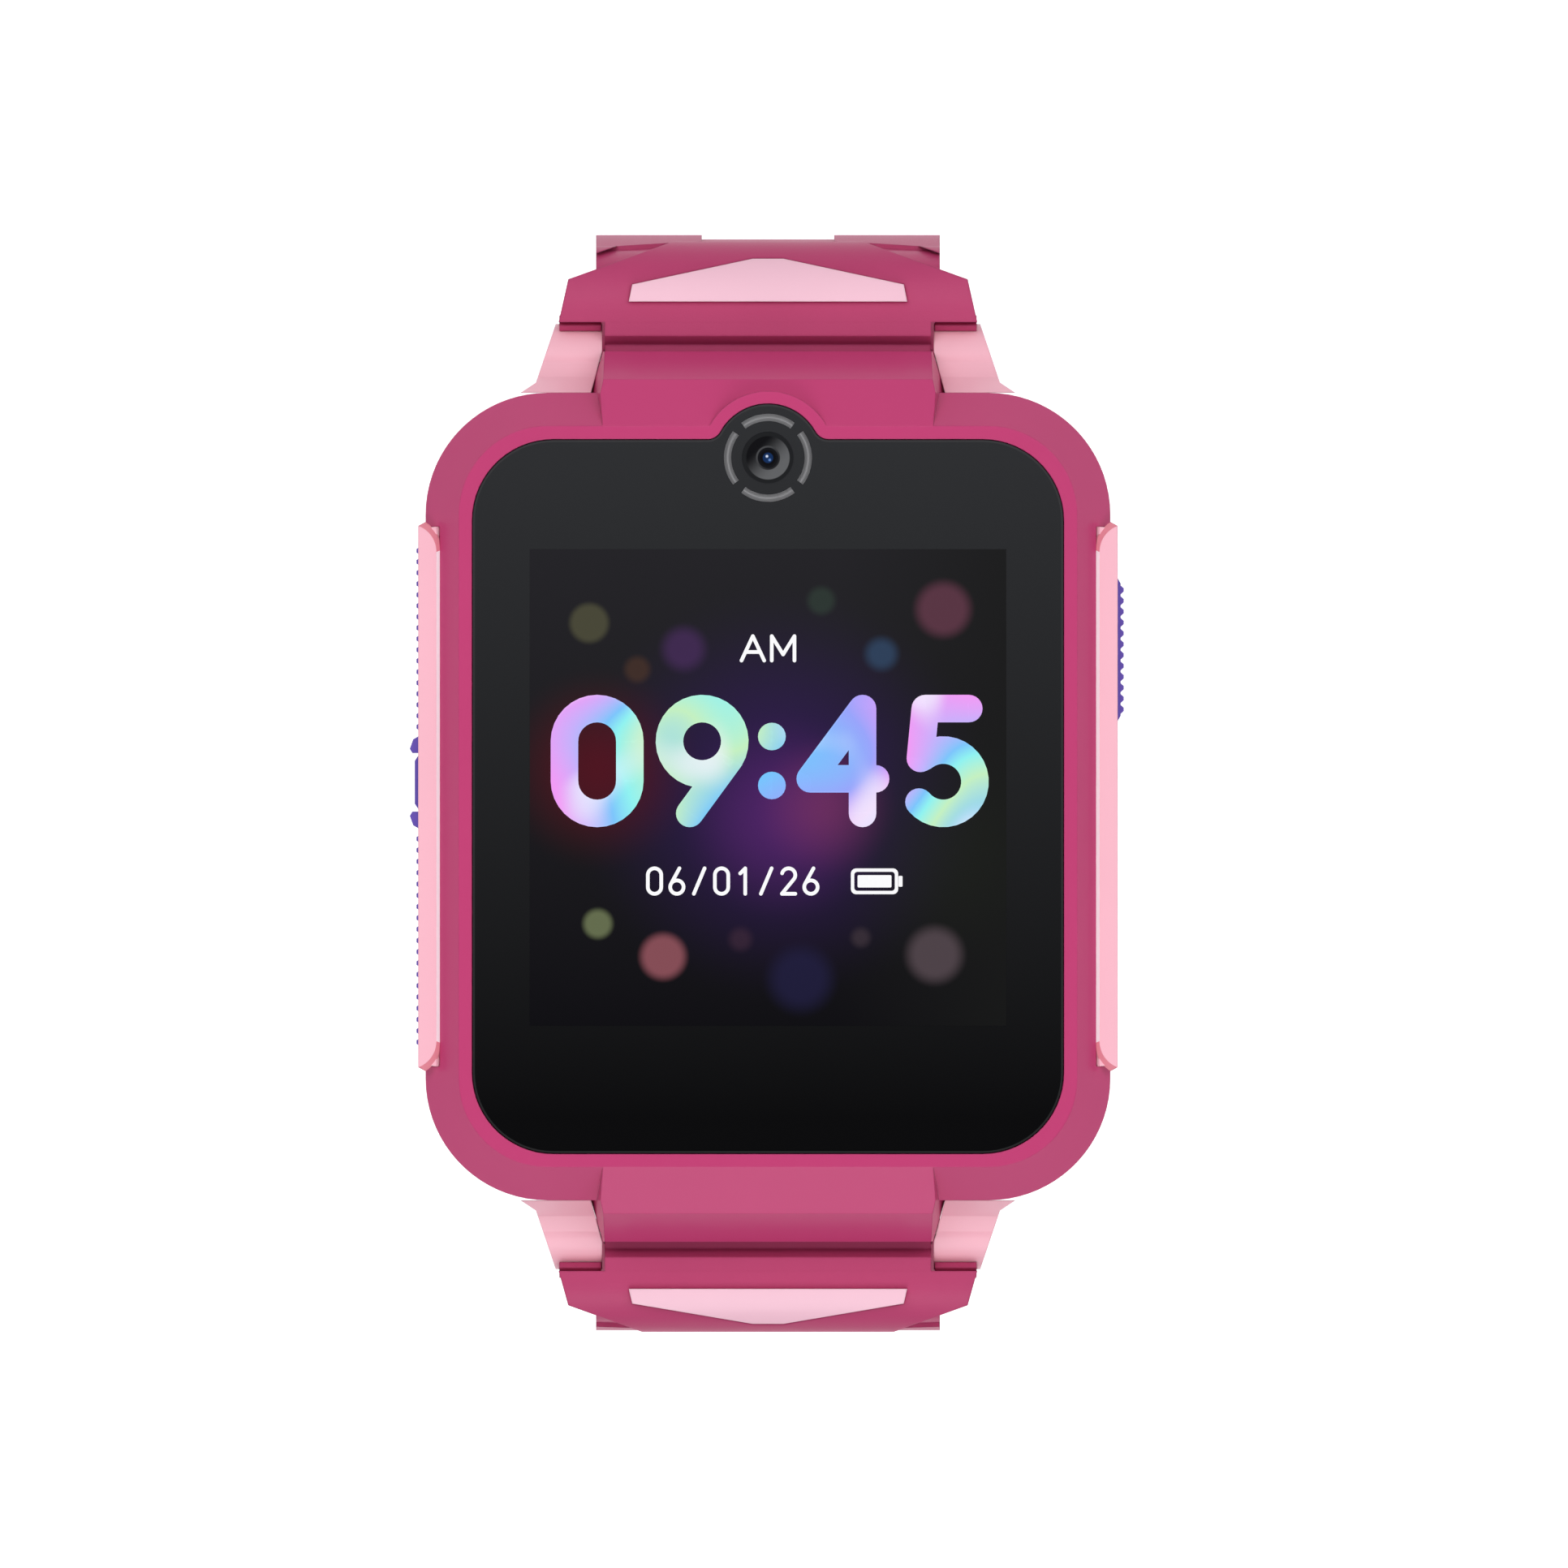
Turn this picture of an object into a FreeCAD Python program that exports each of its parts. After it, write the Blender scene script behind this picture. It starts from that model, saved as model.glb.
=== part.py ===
import FreeCAD, Part
import Sketcher
import math
import os

from FreeCAD import Placement, Rotation, Vector

# Child's smart watch (a wearable toy phone) on a two-piece strap, in millimetres.
#
# The watch lies face up: +Z leaves the display, +Y points to twelve o'clock (the camera end)
# and +X to three o'clock (the home button).  The origin is the middle of the rear cover's
# flat outer face.  Each sub-part is an object of the document whose sizes come from the sheet.

os.makedirs("parts", exist_ok=True)
doc = FreeCAD.newDocument("child_smart_watch")
sheet = doc.addObject("Spreadsheet::Sheet", "Sizes")

SIZES = [
    # housing
    ("case_width", 39.84, "housing across the sides"),
    ("case_length", 46.98, "housing from end to end"),
    ("case_corner", 7.08, "corner radius in plan"),
    ("frame_tall", 2.8, "height of the lug frame's ring"),
    ("bevel_deep", 2.4, "height of the bevel"),
    ("ring_height", 12.9, "height of the flat ring round the glass"),
    ("bevel_width", 1.93, "bevel seen from the front"),
    ("housing_wall", 1.5, "side wall of the housing"),
    ("housing_skin", 1.7, "front wall behind the glass"),
    ("ring_flat", 0.81, "flat ring between the glass and the bevel"),
    ("glass_corner", 4.7, "cover glass corner radius"),
    ("glass_thick", 0.9, "cover glass"),
    ("glass_rise", 0.1, "glass above the ring"),
    ("glass_gap", 0.05, "running gap round the glass"),
    # display
    ("view_size", 27.72, "side of the square picture area"),
    ("view_shift", 0.53, "picture centre above the case centre"),
    ("view_clear", 0.25, "window edge outside the picture area"),
    ("panel_margin", 1.6, "panel border beyond the picture area"),
    ("panel_thick", 1.3, "display panel"),
    # camera
    ("cam_inset", 1.04, "camera axis inside the straight end of the glass"),
    ("cam_ring_radius", 3.88, "housing bump round the camera"),
    ("cam_glass_radius", 3.12, "glass bump round the camera"),
    ("cam_blend", 0.9, "blend between the glass bump and its straight edge"),
    ("cam_hole_radius", 1.23, "opening of the lens cone"),
    ("cam_body_side", 4.2, "camera module body"),
    ("cam_body_deep", 1.6, "camera module body"),
    # hoods between the lugs
    ("hood_flare", 0.65, "hood foot beyond the lug's inner face"),
    ("hood_draft", 8.0, "draft of the hood sides in degrees"),
    ("hood_crease_out", 0.78, "crease between the hood facets, beyond the case end"),
    ("hood_crease_drop", 1.4, "that crease below the ring"),
    ("hood_lip_out", 2.41, "outer lip of the hood, beyond the case end"),
    ("hood_lip_thick", 0.7, "thickness of the hood lip"),
    ("hood_under_rise", 2.4, "underside of the hood lip above the spring bar"),
    # lugs and spring bars
    ("bar_out", 1.81, "spring bar axis beyond the case end"),
    ("bar_z", 5.6, "spring bar axis above the rear face"),
    ("bar_radius", 0.75, "spring bar tube"),
    ("bar_pin_radius", 0.4, "spring bar end pin"),
    ("bar_pin_long", 1.0, "spring bar end pin in the lug"),
    ("bar_fit", 0.05, "radial running clearance of a bar"),
    ("lug_end_radius", 2.2, "rounded lug end about the bar"),
    ("lug_inner", 9.65, "inner face of a lug"),
    ("lug_wide", 2.7, "width of a lug at its end"),
    ("lug_flare", 1.15, "flare of a lug toward its root"),
    ("lug_root_rise", 4.0, "top of a lug's root above the spring bar"),
    ("frame_foot", 0.8, "underside of the lug frame"),
    ("frame_wall", 2.6, "wall of the lug frame"),
    # rails on the sides
    ("rail_proud", 0.42, "outer face of a side rail beyond the case side"),
    ("rail_bite", 0.9, "inner edge of a side rail inside the case side"),
    ("rail_half", 15.7, "half length of a side rail"),
    ("rail_drop", 1.4, "top of a side rail below the ring"),
    ("rail_chamfer", 0.28, "chamfer on the rail's inner top edge"),
    ("rail_fillet", 1.0, "rounded rail end in plan"),
    ("trim_tall", 5.1, "height of the ridged trims and buttons"),
    ("trim_deep", 0.7, "trim recess in the rail"),
    # ridged trims on the left side
    ("ridge_proud", 0.11, "tips of the grip ridges beyond the rail"),
    ("ridge_height", 0.32, "height of a grip ridge"),
    ("ridge_pitch", 0.64, "pitch of the grip ridges"),
    ("ridge_upper_first", 4.06, "first ridge of the upper trim"),
    ("ridge_upper_count", 17, "ridges on the upper trim"),
    ("ridge_lower_first", -2.46, "first ridge of the lower trim"),
    ("ridge_lower_count", 19, "ridges on the lower trim"),
    ("ridge_lower_pitch", 0.657, "pitch of the lower ridges"),
    ("guard_proud", 0.5, "tips of the two guards beyond the rail"),
    ("guard_length", 1.15, "length of a guard"),
    ("guard_gap", 3.4, "gap between the guards"),
    ("guard_middle", 0.83, "middle of the side button along the case"),
    # buttons
    ("key_gap", 0.15, "clearance round a button"),
    ("key_travel", 0.35, "travel of a button"),
    ("home_middle", 8.55, "middle of the home button along the case"),
    ("home_length", 8.4, "home button along the case"),
    ("home_proud", 0.36, "tips of the home button ribs beyond the rail"),
    ("home_rib_height", 0.18, "height of a home button rib"),
    ("home_rib_pitch", 0.632, "pitch of the home button ribs"),
    ("home_rib_count", 12, "ribs on the home button"),
    ("side_proud", 0.21, "outer face of the side button beyond the rail"),
    ("key_stem_radius", 1.1, "button stem"),
    ("key_stem_reach", 2.42, "button stem beyond the rail's inner edge"),
    ("key_rise", 0.15, "button axis above the main board's underside"),
    # rear cover, inner parts
    ("cover_thick", 1.6, "rear cover"),
    ("cover_inset", 1.2, "rear cover edge inside the case outline"),
    ("cover_fit", 0.15, "gap round the rear cover"),
    ("gasket_thick", 0.5, "sealing ring under the lug frame"),
    ("gasket_width", 0.7, "sealing ring"),
    ("screw_x", 14.2, "rear screw from the middle"),
    ("screw_y", 18.6, "rear screw from the middle"),
    ("screw_radius", 0.7, "rear screw shank"),
    ("screw_head", 1.35, "rear screw head"),
    ("screw_head_deep", 0.8, "rear screw head"),
    ("screw_long", 4.6, "rear screw over all"),
    ("post_radius", 1.7, "screw posts of the housing"),
    ("contact_radius", 0.9, "charging contact"),
    ("contact_pitch", 2.54, "charging contact spacing"),
    ("contact_count", 2, "charging contacts"),
    ("contact_y", -15.5, "charging contacts from the middle"),
    ("board_thick", 0.8, "main board"),
    ("board_side_gap", 2.2, "main board edge short of the button stems"),
    ("board_half_y", 14.6, "main board"),
    ("board_gap", 0.3, "gap between the display tray and the main board"),
    ("battery_x", 21.0, "battery"),
    ("battery_y", 20.0, "battery"),
    ("battery_z", 4.6, "battery"),
    ("battery_middle", -3.0, "battery centre along the case"),
    ("tray_thick", 0.4, "metal tray behind the display"),
    ("speaker_radius", 4.5, "speaker"),
    ("speaker_deep", 3.0, "speaker"),
    ("motor_radius", 4.0, "vibration motor"),
    ("motor_deep", 2.6, "vibration motor"),
    ("round_x", 7.0, "speaker and motor from the middle"),
    ("round_y", 12.2, "speaker and motor from the middle"),
    ("sound_hole", 0.45, "sound holes in the rear cover"),
    ("sound_pitch", 1.8, "sound hole spacing"),
    ("sound_count", 3, "sound holes"),
    ("part_gap", 0.1, "gap between an inner part and its seat"),
    # strap
    ("strap_half", 10.0, "half width of the strap band"),
    ("neck_gap", 0.15, "gap between the strap neck and a lug"),
    ("barrel_radius", 1.6, "strap barrel round the spring bar"),
    ("shoulder_gap", 0.1, "gap between the lug ends and the wide shoulder"),
    ("shoulder_rise", 2.4, "top of the shoulder above the spring bar"),
    ("shoulder_sink", 1.2, "underside of the shoulder below the spring bar"),
    ("shoulder_inset", 0.17, "wide shoulder inside the lug's outer face"),
    ("shoulder_taper", 0.56, "narrowing of the shoulder up to the chevron"),
    ("bend_out", 3.0, "start of the shoulder bend beyond the spring bar"),
    ("chevron_slope", 0.36, "rise of the chevron edge over its run"),
    ("plate_step", 0.5, "shoulder plate above the band"),
    ("band_thick", 2.4, "thickness of the band in its middle channel"),
    ("band_radius", 38.0, "outer radius of the band's long curve"),
    ("wing_rise", 0.25, "raised wings above the middle channel"),
    ("wing_lag", 0.9, "wings behind the chevron edge"),
    ("wing_sweep", 3.5, "angle where the wings end below the farthest point"),
    ("channel_half", 3.85, "half width of the middle channel"),
    ("upper_bend", 4.0, "outer radius of the upper shoulder bend"),
    ("upper_bulge", 0.12, "farthest reach of the buckle half beyond its shoulder"),
    ("upper_drop", 8.6, "that farthest point below the spring bar"),
    ("upper_chevron_out", 1.8, "chevron corner of the buckle half beyond the bend"),
    ("upper_sweep", 57.0, "angle of the buckle half below its farthest point"),
    ("lower_bend", 2.85, "outer radius of the lower shoulder bend"),
    ("lower_bulge", -0.35, "farthest reach of the holed half beyond its shoulder"),
    ("lower_drop", 4.6, "that farthest point below the spring bar"),
    ("lower_chevron_out", 1.3, "chevron corner of the holed half beyond the bend"),
    ("lower_sweep", 60.5, "angle of the holed half below its farthest point"),
    ("tip_round", 9.0, "corner radius of the holed half's tip"),
    ("hole_half", 1.3, "half width of an adjustment hole"),
    ("hole_count", 7, "adjustment holes"),
    ("hole_last", 53.5, "angle of the last adjustment hole"),
    ("hole_pitch", 7.0, "angle between adjustment holes"),
    ("inlay_half", 8.1, "half width of the inlay"),
    ("inlay_taper", 0.2, "inlay narrower at its outer corners"),
    ("inlay_deep", 0.6, "inlay pocket"),
    ("inlay_rise", 0.35, "inlay above the shoulder"),
    ("upper_inlay_first", 0.5, "straight edge of the upper inlay beyond the bend"),
    ("upper_inlay_side", 1.5, "outer corner of the upper inlay beyond the bend"),
    ("upper_inlay_tip", 3.2, "apex of the upper inlay beyond the bend"),
    ("lower_inlay_first", 0.34, "straight edge of the lower inlay beyond the bend"),
    ("lower_inlay_side", 1.2, "outer corner of the lower inlay beyond the bend"),
    ("lower_inlay_tip", 2.54, "apex of the lower inlay beyond the bend"),
    # buckle and keepers
    ("buckle_side", 2.4, "buckle frame beyond the strap on each side"),
    ("buckle_arm", 2.0, "width of the frame's arms"),
    ("buckle_thick", 1.8, "thickness of the buckle frame"),
    ("buckle_long", 12.5, "buckle frame from bar to outer edge"),
    ("buckle_corner", 3.0, "outer corners of the buckle frame"),
    ("buckle_bar_radius", 0.8, "buckle bar"),
    ("buckle_barrel", 1.9, "strap end round the buckle bar"),
    ("buckle_eye", 1.5, "frame and tongue eyes round the buckle bar"),
    ("tongue_half", 1.0, "half width of the tongue"),
    ("tongue_thick", 1.1, "thickness of the tongue"),
    ("tongue_gap", 0.3, "tongue above the frame's cross bar"),
    ("slot_half", 1.4, "half width of the tongue slot in the strap"),
    ("slot_long", 4.5, "tongue slot from the bar"),
    ("keeper_wall", 1.1, "wall of a strap keeper"),
    ("keeper_long", 4.5, "strap keeper along the strap"),
    ("keeper_gap", 0.45, "gap between the free keeper and the strap"),
    ("keeper_snug", 0.12, "gap between the fixed keeper and the strap"),
    ("keeper_room", 2.6, "space in a keeper for the other strap end"),
    ("keeper_fixed_at", 45.6, "angle of the fixed keeper below the farthest point"),
    ("keeper_free_at", 34.3, "angle of the free keeper below the farthest point"),
]
for row, (alias, number, note) in enumerate(SIZES, start=1):
    sheet.set("A%d" % row, alias.replace("_", " "))
    sheet.set("B%d" % row, str(number))
    sheet.set("C%d" % row, note)
    sheet.setAlias("B%d" % row, alias)
doc.recompute()


class Size:
    """A number together with the sheet expression that drives it."""

    def __init__(self, value, text):
        self.value = float(value)
        self.text = text

    def __add__(self, other):
        other = as_size(other)
        return Size(self.value + other.value, "(%s + %s)" % (self.text, other.text))

    def __sub__(self, other):
        other = as_size(other)
        return Size(self.value - other.value, "(%s - %s)" % (self.text, other.text))

    def __mul__(self, other):
        other = as_size(other)
        return Size(self.value * other.value, "(%s * %s)" % (self.text, other.text))

    def __truediv__(self, other):
        other = as_size(other)
        return Size(self.value / other.value, "(%s / %s)" % (self.text, other.text))

    def __radd__(self, other):
        return as_size(other) + self

    def __rsub__(self, other):
        return as_size(other) - self

    def __rmul__(self, other):
        return as_size(other) * self

    def __neg__(self):
        return Size(-self.value, "(-1 * %s)" % self.text)


def as_size(number):
    """A plain number as a Size."""
    if isinstance(number, Size):
        return number
    return Size(number, "(%r)" % float(number))


def root(size):
    """Square root of a Size."""
    return Size(math.sqrt(size.value), "sqrt(%s)" % size.text)


def sine(angle):
    """Sine of a Size in degrees."""
    return Size(math.sin(math.radians(angle.value)), "sin(%s * 1 deg)" % angle.text)


def cosine(angle):
    """Cosine of a Size in degrees."""
    return Size(math.cos(math.radians(angle.value)), "cos(%s * 1 deg)" % angle.text)


class Sizes:
    """The sheet's cells as attributes."""


S = Sizes()
for alias, number, note in SIZES:
    setattr(S, alias, Size(number, "Sizes.%s" % alias))


def new_body(label, colour=None):
    """A body whose label names the sub-part."""
    body = doc.addObject("PartDesign::Body", label)
    body.Label = label
    return body


def bind(thing, prop, size):
    """Set a property and tie it to the sheet."""
    size = as_size(size)
    thing.setExpression(prop, size.text)


def sketch(body, name, plane, lift=0.0, shift=(0.0, 0.0), turn=None):
    """An empty sketch on one of the body's own origin planes."""
    made = body.newObject("Sketcher::SketchObject", name)
    for feature in body.Origin.OriginFeatures:
        if feature.Role == plane:
            made.AttachmentSupport = [(feature, "")]
    made.MapMode = "FlatFace"
    lift = as_size(lift)
    across, up = as_size(shift[0]), as_size(shift[1])
    axis = turn[0] if turn else Vector(0, 0, 1)
    angle = as_size(turn[1]) if turn else as_size(0.0)
    base = Vector(across.value, up.value, lift.value)
    made.AttachmentOffset = Placement(base, Rotation(axis, angle.value))
    for prop, size in (("x", across), ("y", up), ("z", lift)):
        if "Sizes." in size.text:
            made.setExpression("AttachmentOffset.Base.%s" % prop, size.text)
    if turn and "Sizes." in angle.text:
        made.setExpression("AttachmentOffset.Rotation.Angle", angle.text)
    return made


def pin_point(made, index, end, point):
    """Fix one end of a sketch element at sizes measured from the sketch's origin."""
    for kind, size in (("DistanceX", point[0]), ("DistanceY", point[1])):
        size = as_size(size)
        if abs(size.value) < 1e-9:
            axis = -2 if kind == "DistanceX" else -1
            made.addConstraint(Sketcher.Constraint("PointOnObject", index, end, axis))
            continue
        number = made.addConstraint(Sketcher.Constraint(kind, -1, 1, index, end, size.value))
        if "Sizes." in size.text:
            made.setExpression("Constraints[%d]" % number, size.text)


def draw(made, points):
    """Close an outline: (x, y) ends a line, (x, y, radius) an arc, turning left if positive."""
    last = points[-1]
    first_index = made.GeometryCount
    ends = []
    for point in points:
        start = Vector(as_size(last[0]).value, as_size(last[1]).value, 0)
        stop = Vector(as_size(point[0]).value, as_size(point[1]).value, 0)
        if len(point) == 2:
            index = made.addGeometry(Part.LineSegment(start, stop), False)
            ends.append((index, 1, 2, None))
        else:
            bend = as_size(point[2])
            radius = abs(bend.value)
            side = 1.0 if bend.value > 0 else -1.0
            middle = (start + stop) * 0.5
            along = stop - start
            reach = math.sqrt(max(radius ** 2 - (along.Length / 2) ** 2, 0.0))
            normal = Vector(-along.y, along.x, 0).normalize()
            centre = middle + normal * (side * reach)
            circle = Part.Circle(centre, Vector(0, 0, 1), radius)
            begin, finish = (start, stop) if side > 0 else (stop, start)
            a0 = math.atan2(begin.y - centre.y, begin.x - centre.x)
            a1 = math.atan2(finish.y - centre.y, finish.x - centre.x)
            if a1 <= a0:
                a1 += 2 * math.pi
            index = made.addGeometry(Part.ArcOfCircle(circle, a0, a1), False)
            bent = bend if bend.value > 0 else -bend
            ends.append((index, 1, 2, bent) if side > 0 else (index, 2, 1, bent))
        last = point
    for order, (index, begin, finish, bend) in enumerate(ends):
        after = ends[(order + 1) % len(ends)]
        made.addConstraint(Sketcher.Constraint("Coincident", index, finish, after[0], after[1]))
        pin_point(made, index, finish, points[order])
        if bend is not None:
            number = made.addConstraint(Sketcher.Constraint("Radius", index, bend.value))
            if "Sizes." in bend.text:
                made.setExpression("Constraints[%d]" % number, bend.text)
    return first_index


def draw_box(made, half_x, half_y, radius=None, centre=(0.0, 0.0)):
    """A rectangle about a centre, with rounded corners when a radius is given."""
    cx, cy = as_size(centre[0]), as_size(centre[1])
    hx, hy = as_size(half_x), as_size(half_y)
    if radius is None:
        draw(made, [(cx + hx, cy - hy), (cx + hx, cy + hy), (cx - hx, cy + hy), (cx - hx, cy - hy)])
        return
    r = as_size(radius)
    draw(made, [
        (cx + hx - r, cy - hy), (cx + hx, cy - hy + r, r),
        (cx + hx, cy + hy - r), (cx + hx - r, cy + hy, r),
        (cx - hx + r, cy + hy), (cx - hx, cy + hy - r, r),
        (cx - hx, cy - hy + r), (cx - hx + r, cy - hy, r),
    ])


def draw_circle(made, centre, radius):
    """A full circle at a centre."""
    cx, cy, r = as_size(centre[0]), as_size(centre[1]), as_size(radius)
    circle = Part.Circle(Vector(cx.value, cy.value, 0), Vector(0, 0, 1), r.value)
    index = made.addGeometry(circle, False)
    pin_point(made, index, 3, (cx, cy))
    number = made.addConstraint(Sketcher.Constraint("Radius", index, r.value))
    if "Sizes." in r.text:
        made.setExpression("Constraints[%d]" % number, r.text)


def volume(body):
    """The body's present volume."""
    doc.recompute()
    return body.Shape.Volume


def pad(body, name, made, length, both=False, back=False, taper=None):
    """Add material along a sketch's normal; `both` centres it, `back` turns it round."""
    before = volume(body) if body.Tip else 0.0
    feature = body.newObject("PartDesign::Pad", name)
    feature.Profile = made
    feature.SideType = "Symmetric" if both else "One side"
    feature.Reversed = back
    bind(feature, "Length", length)
    if taper is not None:
        bind(feature, "TaperAngle", taper)
    assert volume(body) > before + 1e-6, "%s adds nothing" % name
    return feature


def pocket(body, name, made, length, both=False, back=False):
    """Cut against a sketch's normal; `both` cuts each way, `back` cuts along the normal."""
    before = volume(body)
    feature = body.newObject("PartDesign::Pocket", name)
    feature.Profile = made
    feature.SideType = "Symmetric" if both else "One side"
    feature.Reversed = back
    bind(feature, "Length", length)
    assert volume(body) < before - 1e-6, "%s cuts nothing" % name
    return feature


def loft(body, name, low, high):
    """A straight-sided solid between two sketches of the same make."""
    feature = body.newObject("PartDesign::AdditiveLoft", name)
    feature.Profile = low
    feature.Sections = [high]
    feature.Ruled = True
    volume(body)
    return feature


def row_of(body, name, original, guide, axis, pitch, count, back=False):
    """Repeat a feature along a sketch's own axis."""
    feature = body.newObject("PartDesign::LinearPattern", name)
    feature.Originals = [original]
    feature.Direction = (guide, [axis])
    feature.Reversed = back
    feature.Mode = "Spacing"
    bind(feature, "Offset", pitch)
    bind(feature, "Occurrences", count)
    body.Tip = feature
    before = original.Shape.Volume
    assert abs(volume(body) - before) > 1e-6, "%s repeats nothing" % name
    return feature


def chamfer(body, name, wanted, size):
    """Chamfer the edges of the body's shape that a test picks out."""
    return dress(body, name, "PartDesign::Chamfer", "Size", wanted, size)


def fillet(body, name, wanted, size):
    """Round the edges of the body's shape that a test picks out."""
    return dress(body, name, "PartDesign::Fillet", "Radius", wanted, size)


def dress(body, name, kind, prop, wanted, size):
    """Add a chamfer or fillet to chosen edges of the present tip."""
    before = volume(body)
    base = body.Tip
    picked = ["Edge%d" % number for number, edge in enumerate(base.Shape.Edges, start=1)
              if wanted(edge)]
    assert picked, "%s finds no edge" % name
    feature = body.newObject(kind, name)
    feature.Base = (base, picked)
    bind(feature, prop, size)
    assert abs(volume(body) - before) > 1e-9, "%s changes nothing" % name
    return feature


# ---- sizes that follow from others ------------------------------------------------------
half_w = S.case_width / 2
half_l = S.case_length / 2
ring_half_w = half_w - S.bevel_width
ring_half_l = half_l - S.bevel_width
ring_corner = S.case_corner - S.bevel_width
glass_half_w = ring_half_w - S.ring_flat
glass_half_l = ring_half_l - S.ring_flat
S.case_floor = S.frame_foot + S.frame_tall
S.bevel_foot = S.ring_height - S.bevel_deep
S.cam_centre = glass_half_l - S.cam_inset
S.rail_face = half_w + S.rail_proud
S.rail_inner = half_w - S.rail_bite
S.rail_top = S.ring_height - S.rail_drop
S.ridge_tip = S.rail_face + S.ridge_proud
S.guard_tip = S.rail_face + S.guard_proud
S.home_tip = S.rail_face + S.home_proud
S.side_tip = S.rail_face + S.side_proud
S.key_stem_end = S.rail_inner - S.key_stem_reach
S.board_half_x = S.key_stem_end - S.board_side_gap
seat_z = S.ring_height + S.glass_rise - S.glass_thick
skin_z = seat_z - S.housing_skin
tray_z = skin_z - S.panel_thick - S.tray_thick
S.board_z = tray_z - S.board_gap - S.board_thick
S.key_height = S.board_z + S.key_rise
S.trim_foot = S.key_height - S.trim_tall / 2
S.trim_top = S.key_height + S.trim_tall / 2
S.bar_y = half_l + S.bar_out
S.hood_crease_y = half_l + S.hood_crease_out
S.hood_crease_z = S.ring_height - S.hood_crease_drop
S.hood_lip_y = half_l + S.hood_lip_out
S.hood_under = S.bar_z + S.hood_under_rise
S.hood_lip_z = S.hood_under + S.hood_lip_thick
S.hood_foot_half = S.lug_inner + S.hood_flare
S.lug_outer = S.lug_inner + S.lug_wide
S.lug_root_outer = S.lug_outer + S.lug_flare
S.lug_root_z = S.bar_z + S.lug_root_rise
S.neck_half = S.lug_inner - S.neck_gap
S.shoulder_top = S.bar_z + S.shoulder_rise
S.shoulder_under = S.bar_z - S.shoulder_sink
S.shoulder_half_near = S.lug_outer - S.shoulder_inset
S.shoulder_half_far = S.shoulder_half_near - S.shoulder_taper
S.bend_start = S.bar_y + S.bend_out
S.inlay_far_half = S.inlay_half - S.inlay_taper
S.buckle_half = S.strap_half + S.buckle_side
for word in ("upper", "lower"):
    start = S.bend_start
    sizes = {name: getattr(S, "%s_%s" % (word, name)) for name in (
        "bend", "bulge", "drop", "chevron_out", "inlay_first", "inlay_side", "inlay_tip")}
    setattr(S, word + "_reach", start + sizes["bend"] + sizes["bulge"])
    setattr(S, word + "_middle_z", S.bar_z - sizes["drop"])
    setattr(S, word + "_chevron_y", start + sizes["chevron_out"])
    setattr(S, word + "_inlay_start", start + sizes["inlay_first"])
    setattr(S, word + "_inlay_corner", start + sizes["inlay_side"])
    setattr(S, word + "_inlay_apex", start + sizes["inlay_tip"])
window_half = S.view_size / 2 + S.view_clear
guard_low = S.guard_middle - S.guard_gap / 2
guard_high = S.guard_middle + S.guard_gap / 2
side_half = S.guard_gap / 2 - S.key_gap
home_half = S.home_length / 2
key_seat = S.rail_face - S.trim_deep - 0.15
stem_hole = S.key_stem_radius + S.key_gap
BIG = 60.0

def bulge_root(gap):
    """Picks the upright edges where the camera bulge meets the straight glass edge."""
    straight = (glass_half_l + gap).value
    round_edge = (S.cam_glass_radius + gap).value
    aside = math.sqrt(round_edge ** 2 - (straight - S.cam_centre.value) ** 2)

    def wanted(edge):
        box = edge.BoundBox
        upright = box.XLength < 1e-4 and box.YLength < 1e-4
        return upright and abs(abs(box.XMin) - aside) < 1e-3 and abs(box.YMin - straight) < 1e-3
    return wanted


# ---- front housing: bevelled case, hoods, camera bump --------------------------------
housing = new_body("front_housing")
plan = sketch(housing, "HousingPlan", "XY_Plane", S.case_floor)
draw_box(plan, half_w, half_l, S.case_corner)
pad(housing, "HousingSides", plan, S.bevel_foot - S.case_floor)
low = sketch(housing, "BevelFoot", "XY_Plane", S.bevel_foot)
draw_box(low, half_w, half_l, S.case_corner)
high = sketch(housing, "BevelTop", "XY_Plane", S.ring_height)
draw_box(high, ring_half_w, ring_half_l, ring_corner)
loft(housing, "Bevel", low, high)
hood_in = S.hood_draft * 0.0175 * (S.ring_height - S.hood_under)
for end, word in ((1, "Top"), (-1, "Bottom")):
    base = sketch(housing, "HoodFoot" + word, "XY_Plane", S.hood_under)
    tip = sketch(housing, "HoodHead" + word, "XY_Plane", S.ring_height)
    for made, inset in ((base, as_size(0.0)), (tip, hood_in)):
        wide = S.hood_foot_half - inset
        narrow = S.lug_inner - 0.05 - inset
        deep = half_l - 4.0
        rows = [(wide, deep), (wide, half_l), (narrow, S.hood_lip_y)]
        rows += [(-x, y) for x, y in reversed(rows)]
        if end < 0:
            rows = [(x, -y) for x, y in reversed(rows)]
        draw(made, rows)
    loft(housing, "Hood" + word, base, tip)
    cut = sketch(housing, "HoodFacets" + word, "YZ_Plane")
    rows = [(ring_half_l, S.ring_height), (S.hood_crease_y, S.hood_crease_z),
            (S.hood_lip_y, S.hood_lip_z), (S.hood_lip_y + 3.0, S.hood_lip_z),
            (S.hood_lip_y + 3.0, S.ring_height + 3.0), (ring_half_l, S.ring_height + 3.0)]
    if end < 0:
        rows = [(-y, z) for y, z in reversed(rows)]
    draw(cut, rows)
    pocket(housing, "HoodSlope" + word, cut, S.hood_foot_half * 2 + 2.0, both=True)
bump = sketch(housing, "CameraBumpPlan", "XY_Plane", S.bevel_foot)
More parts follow.
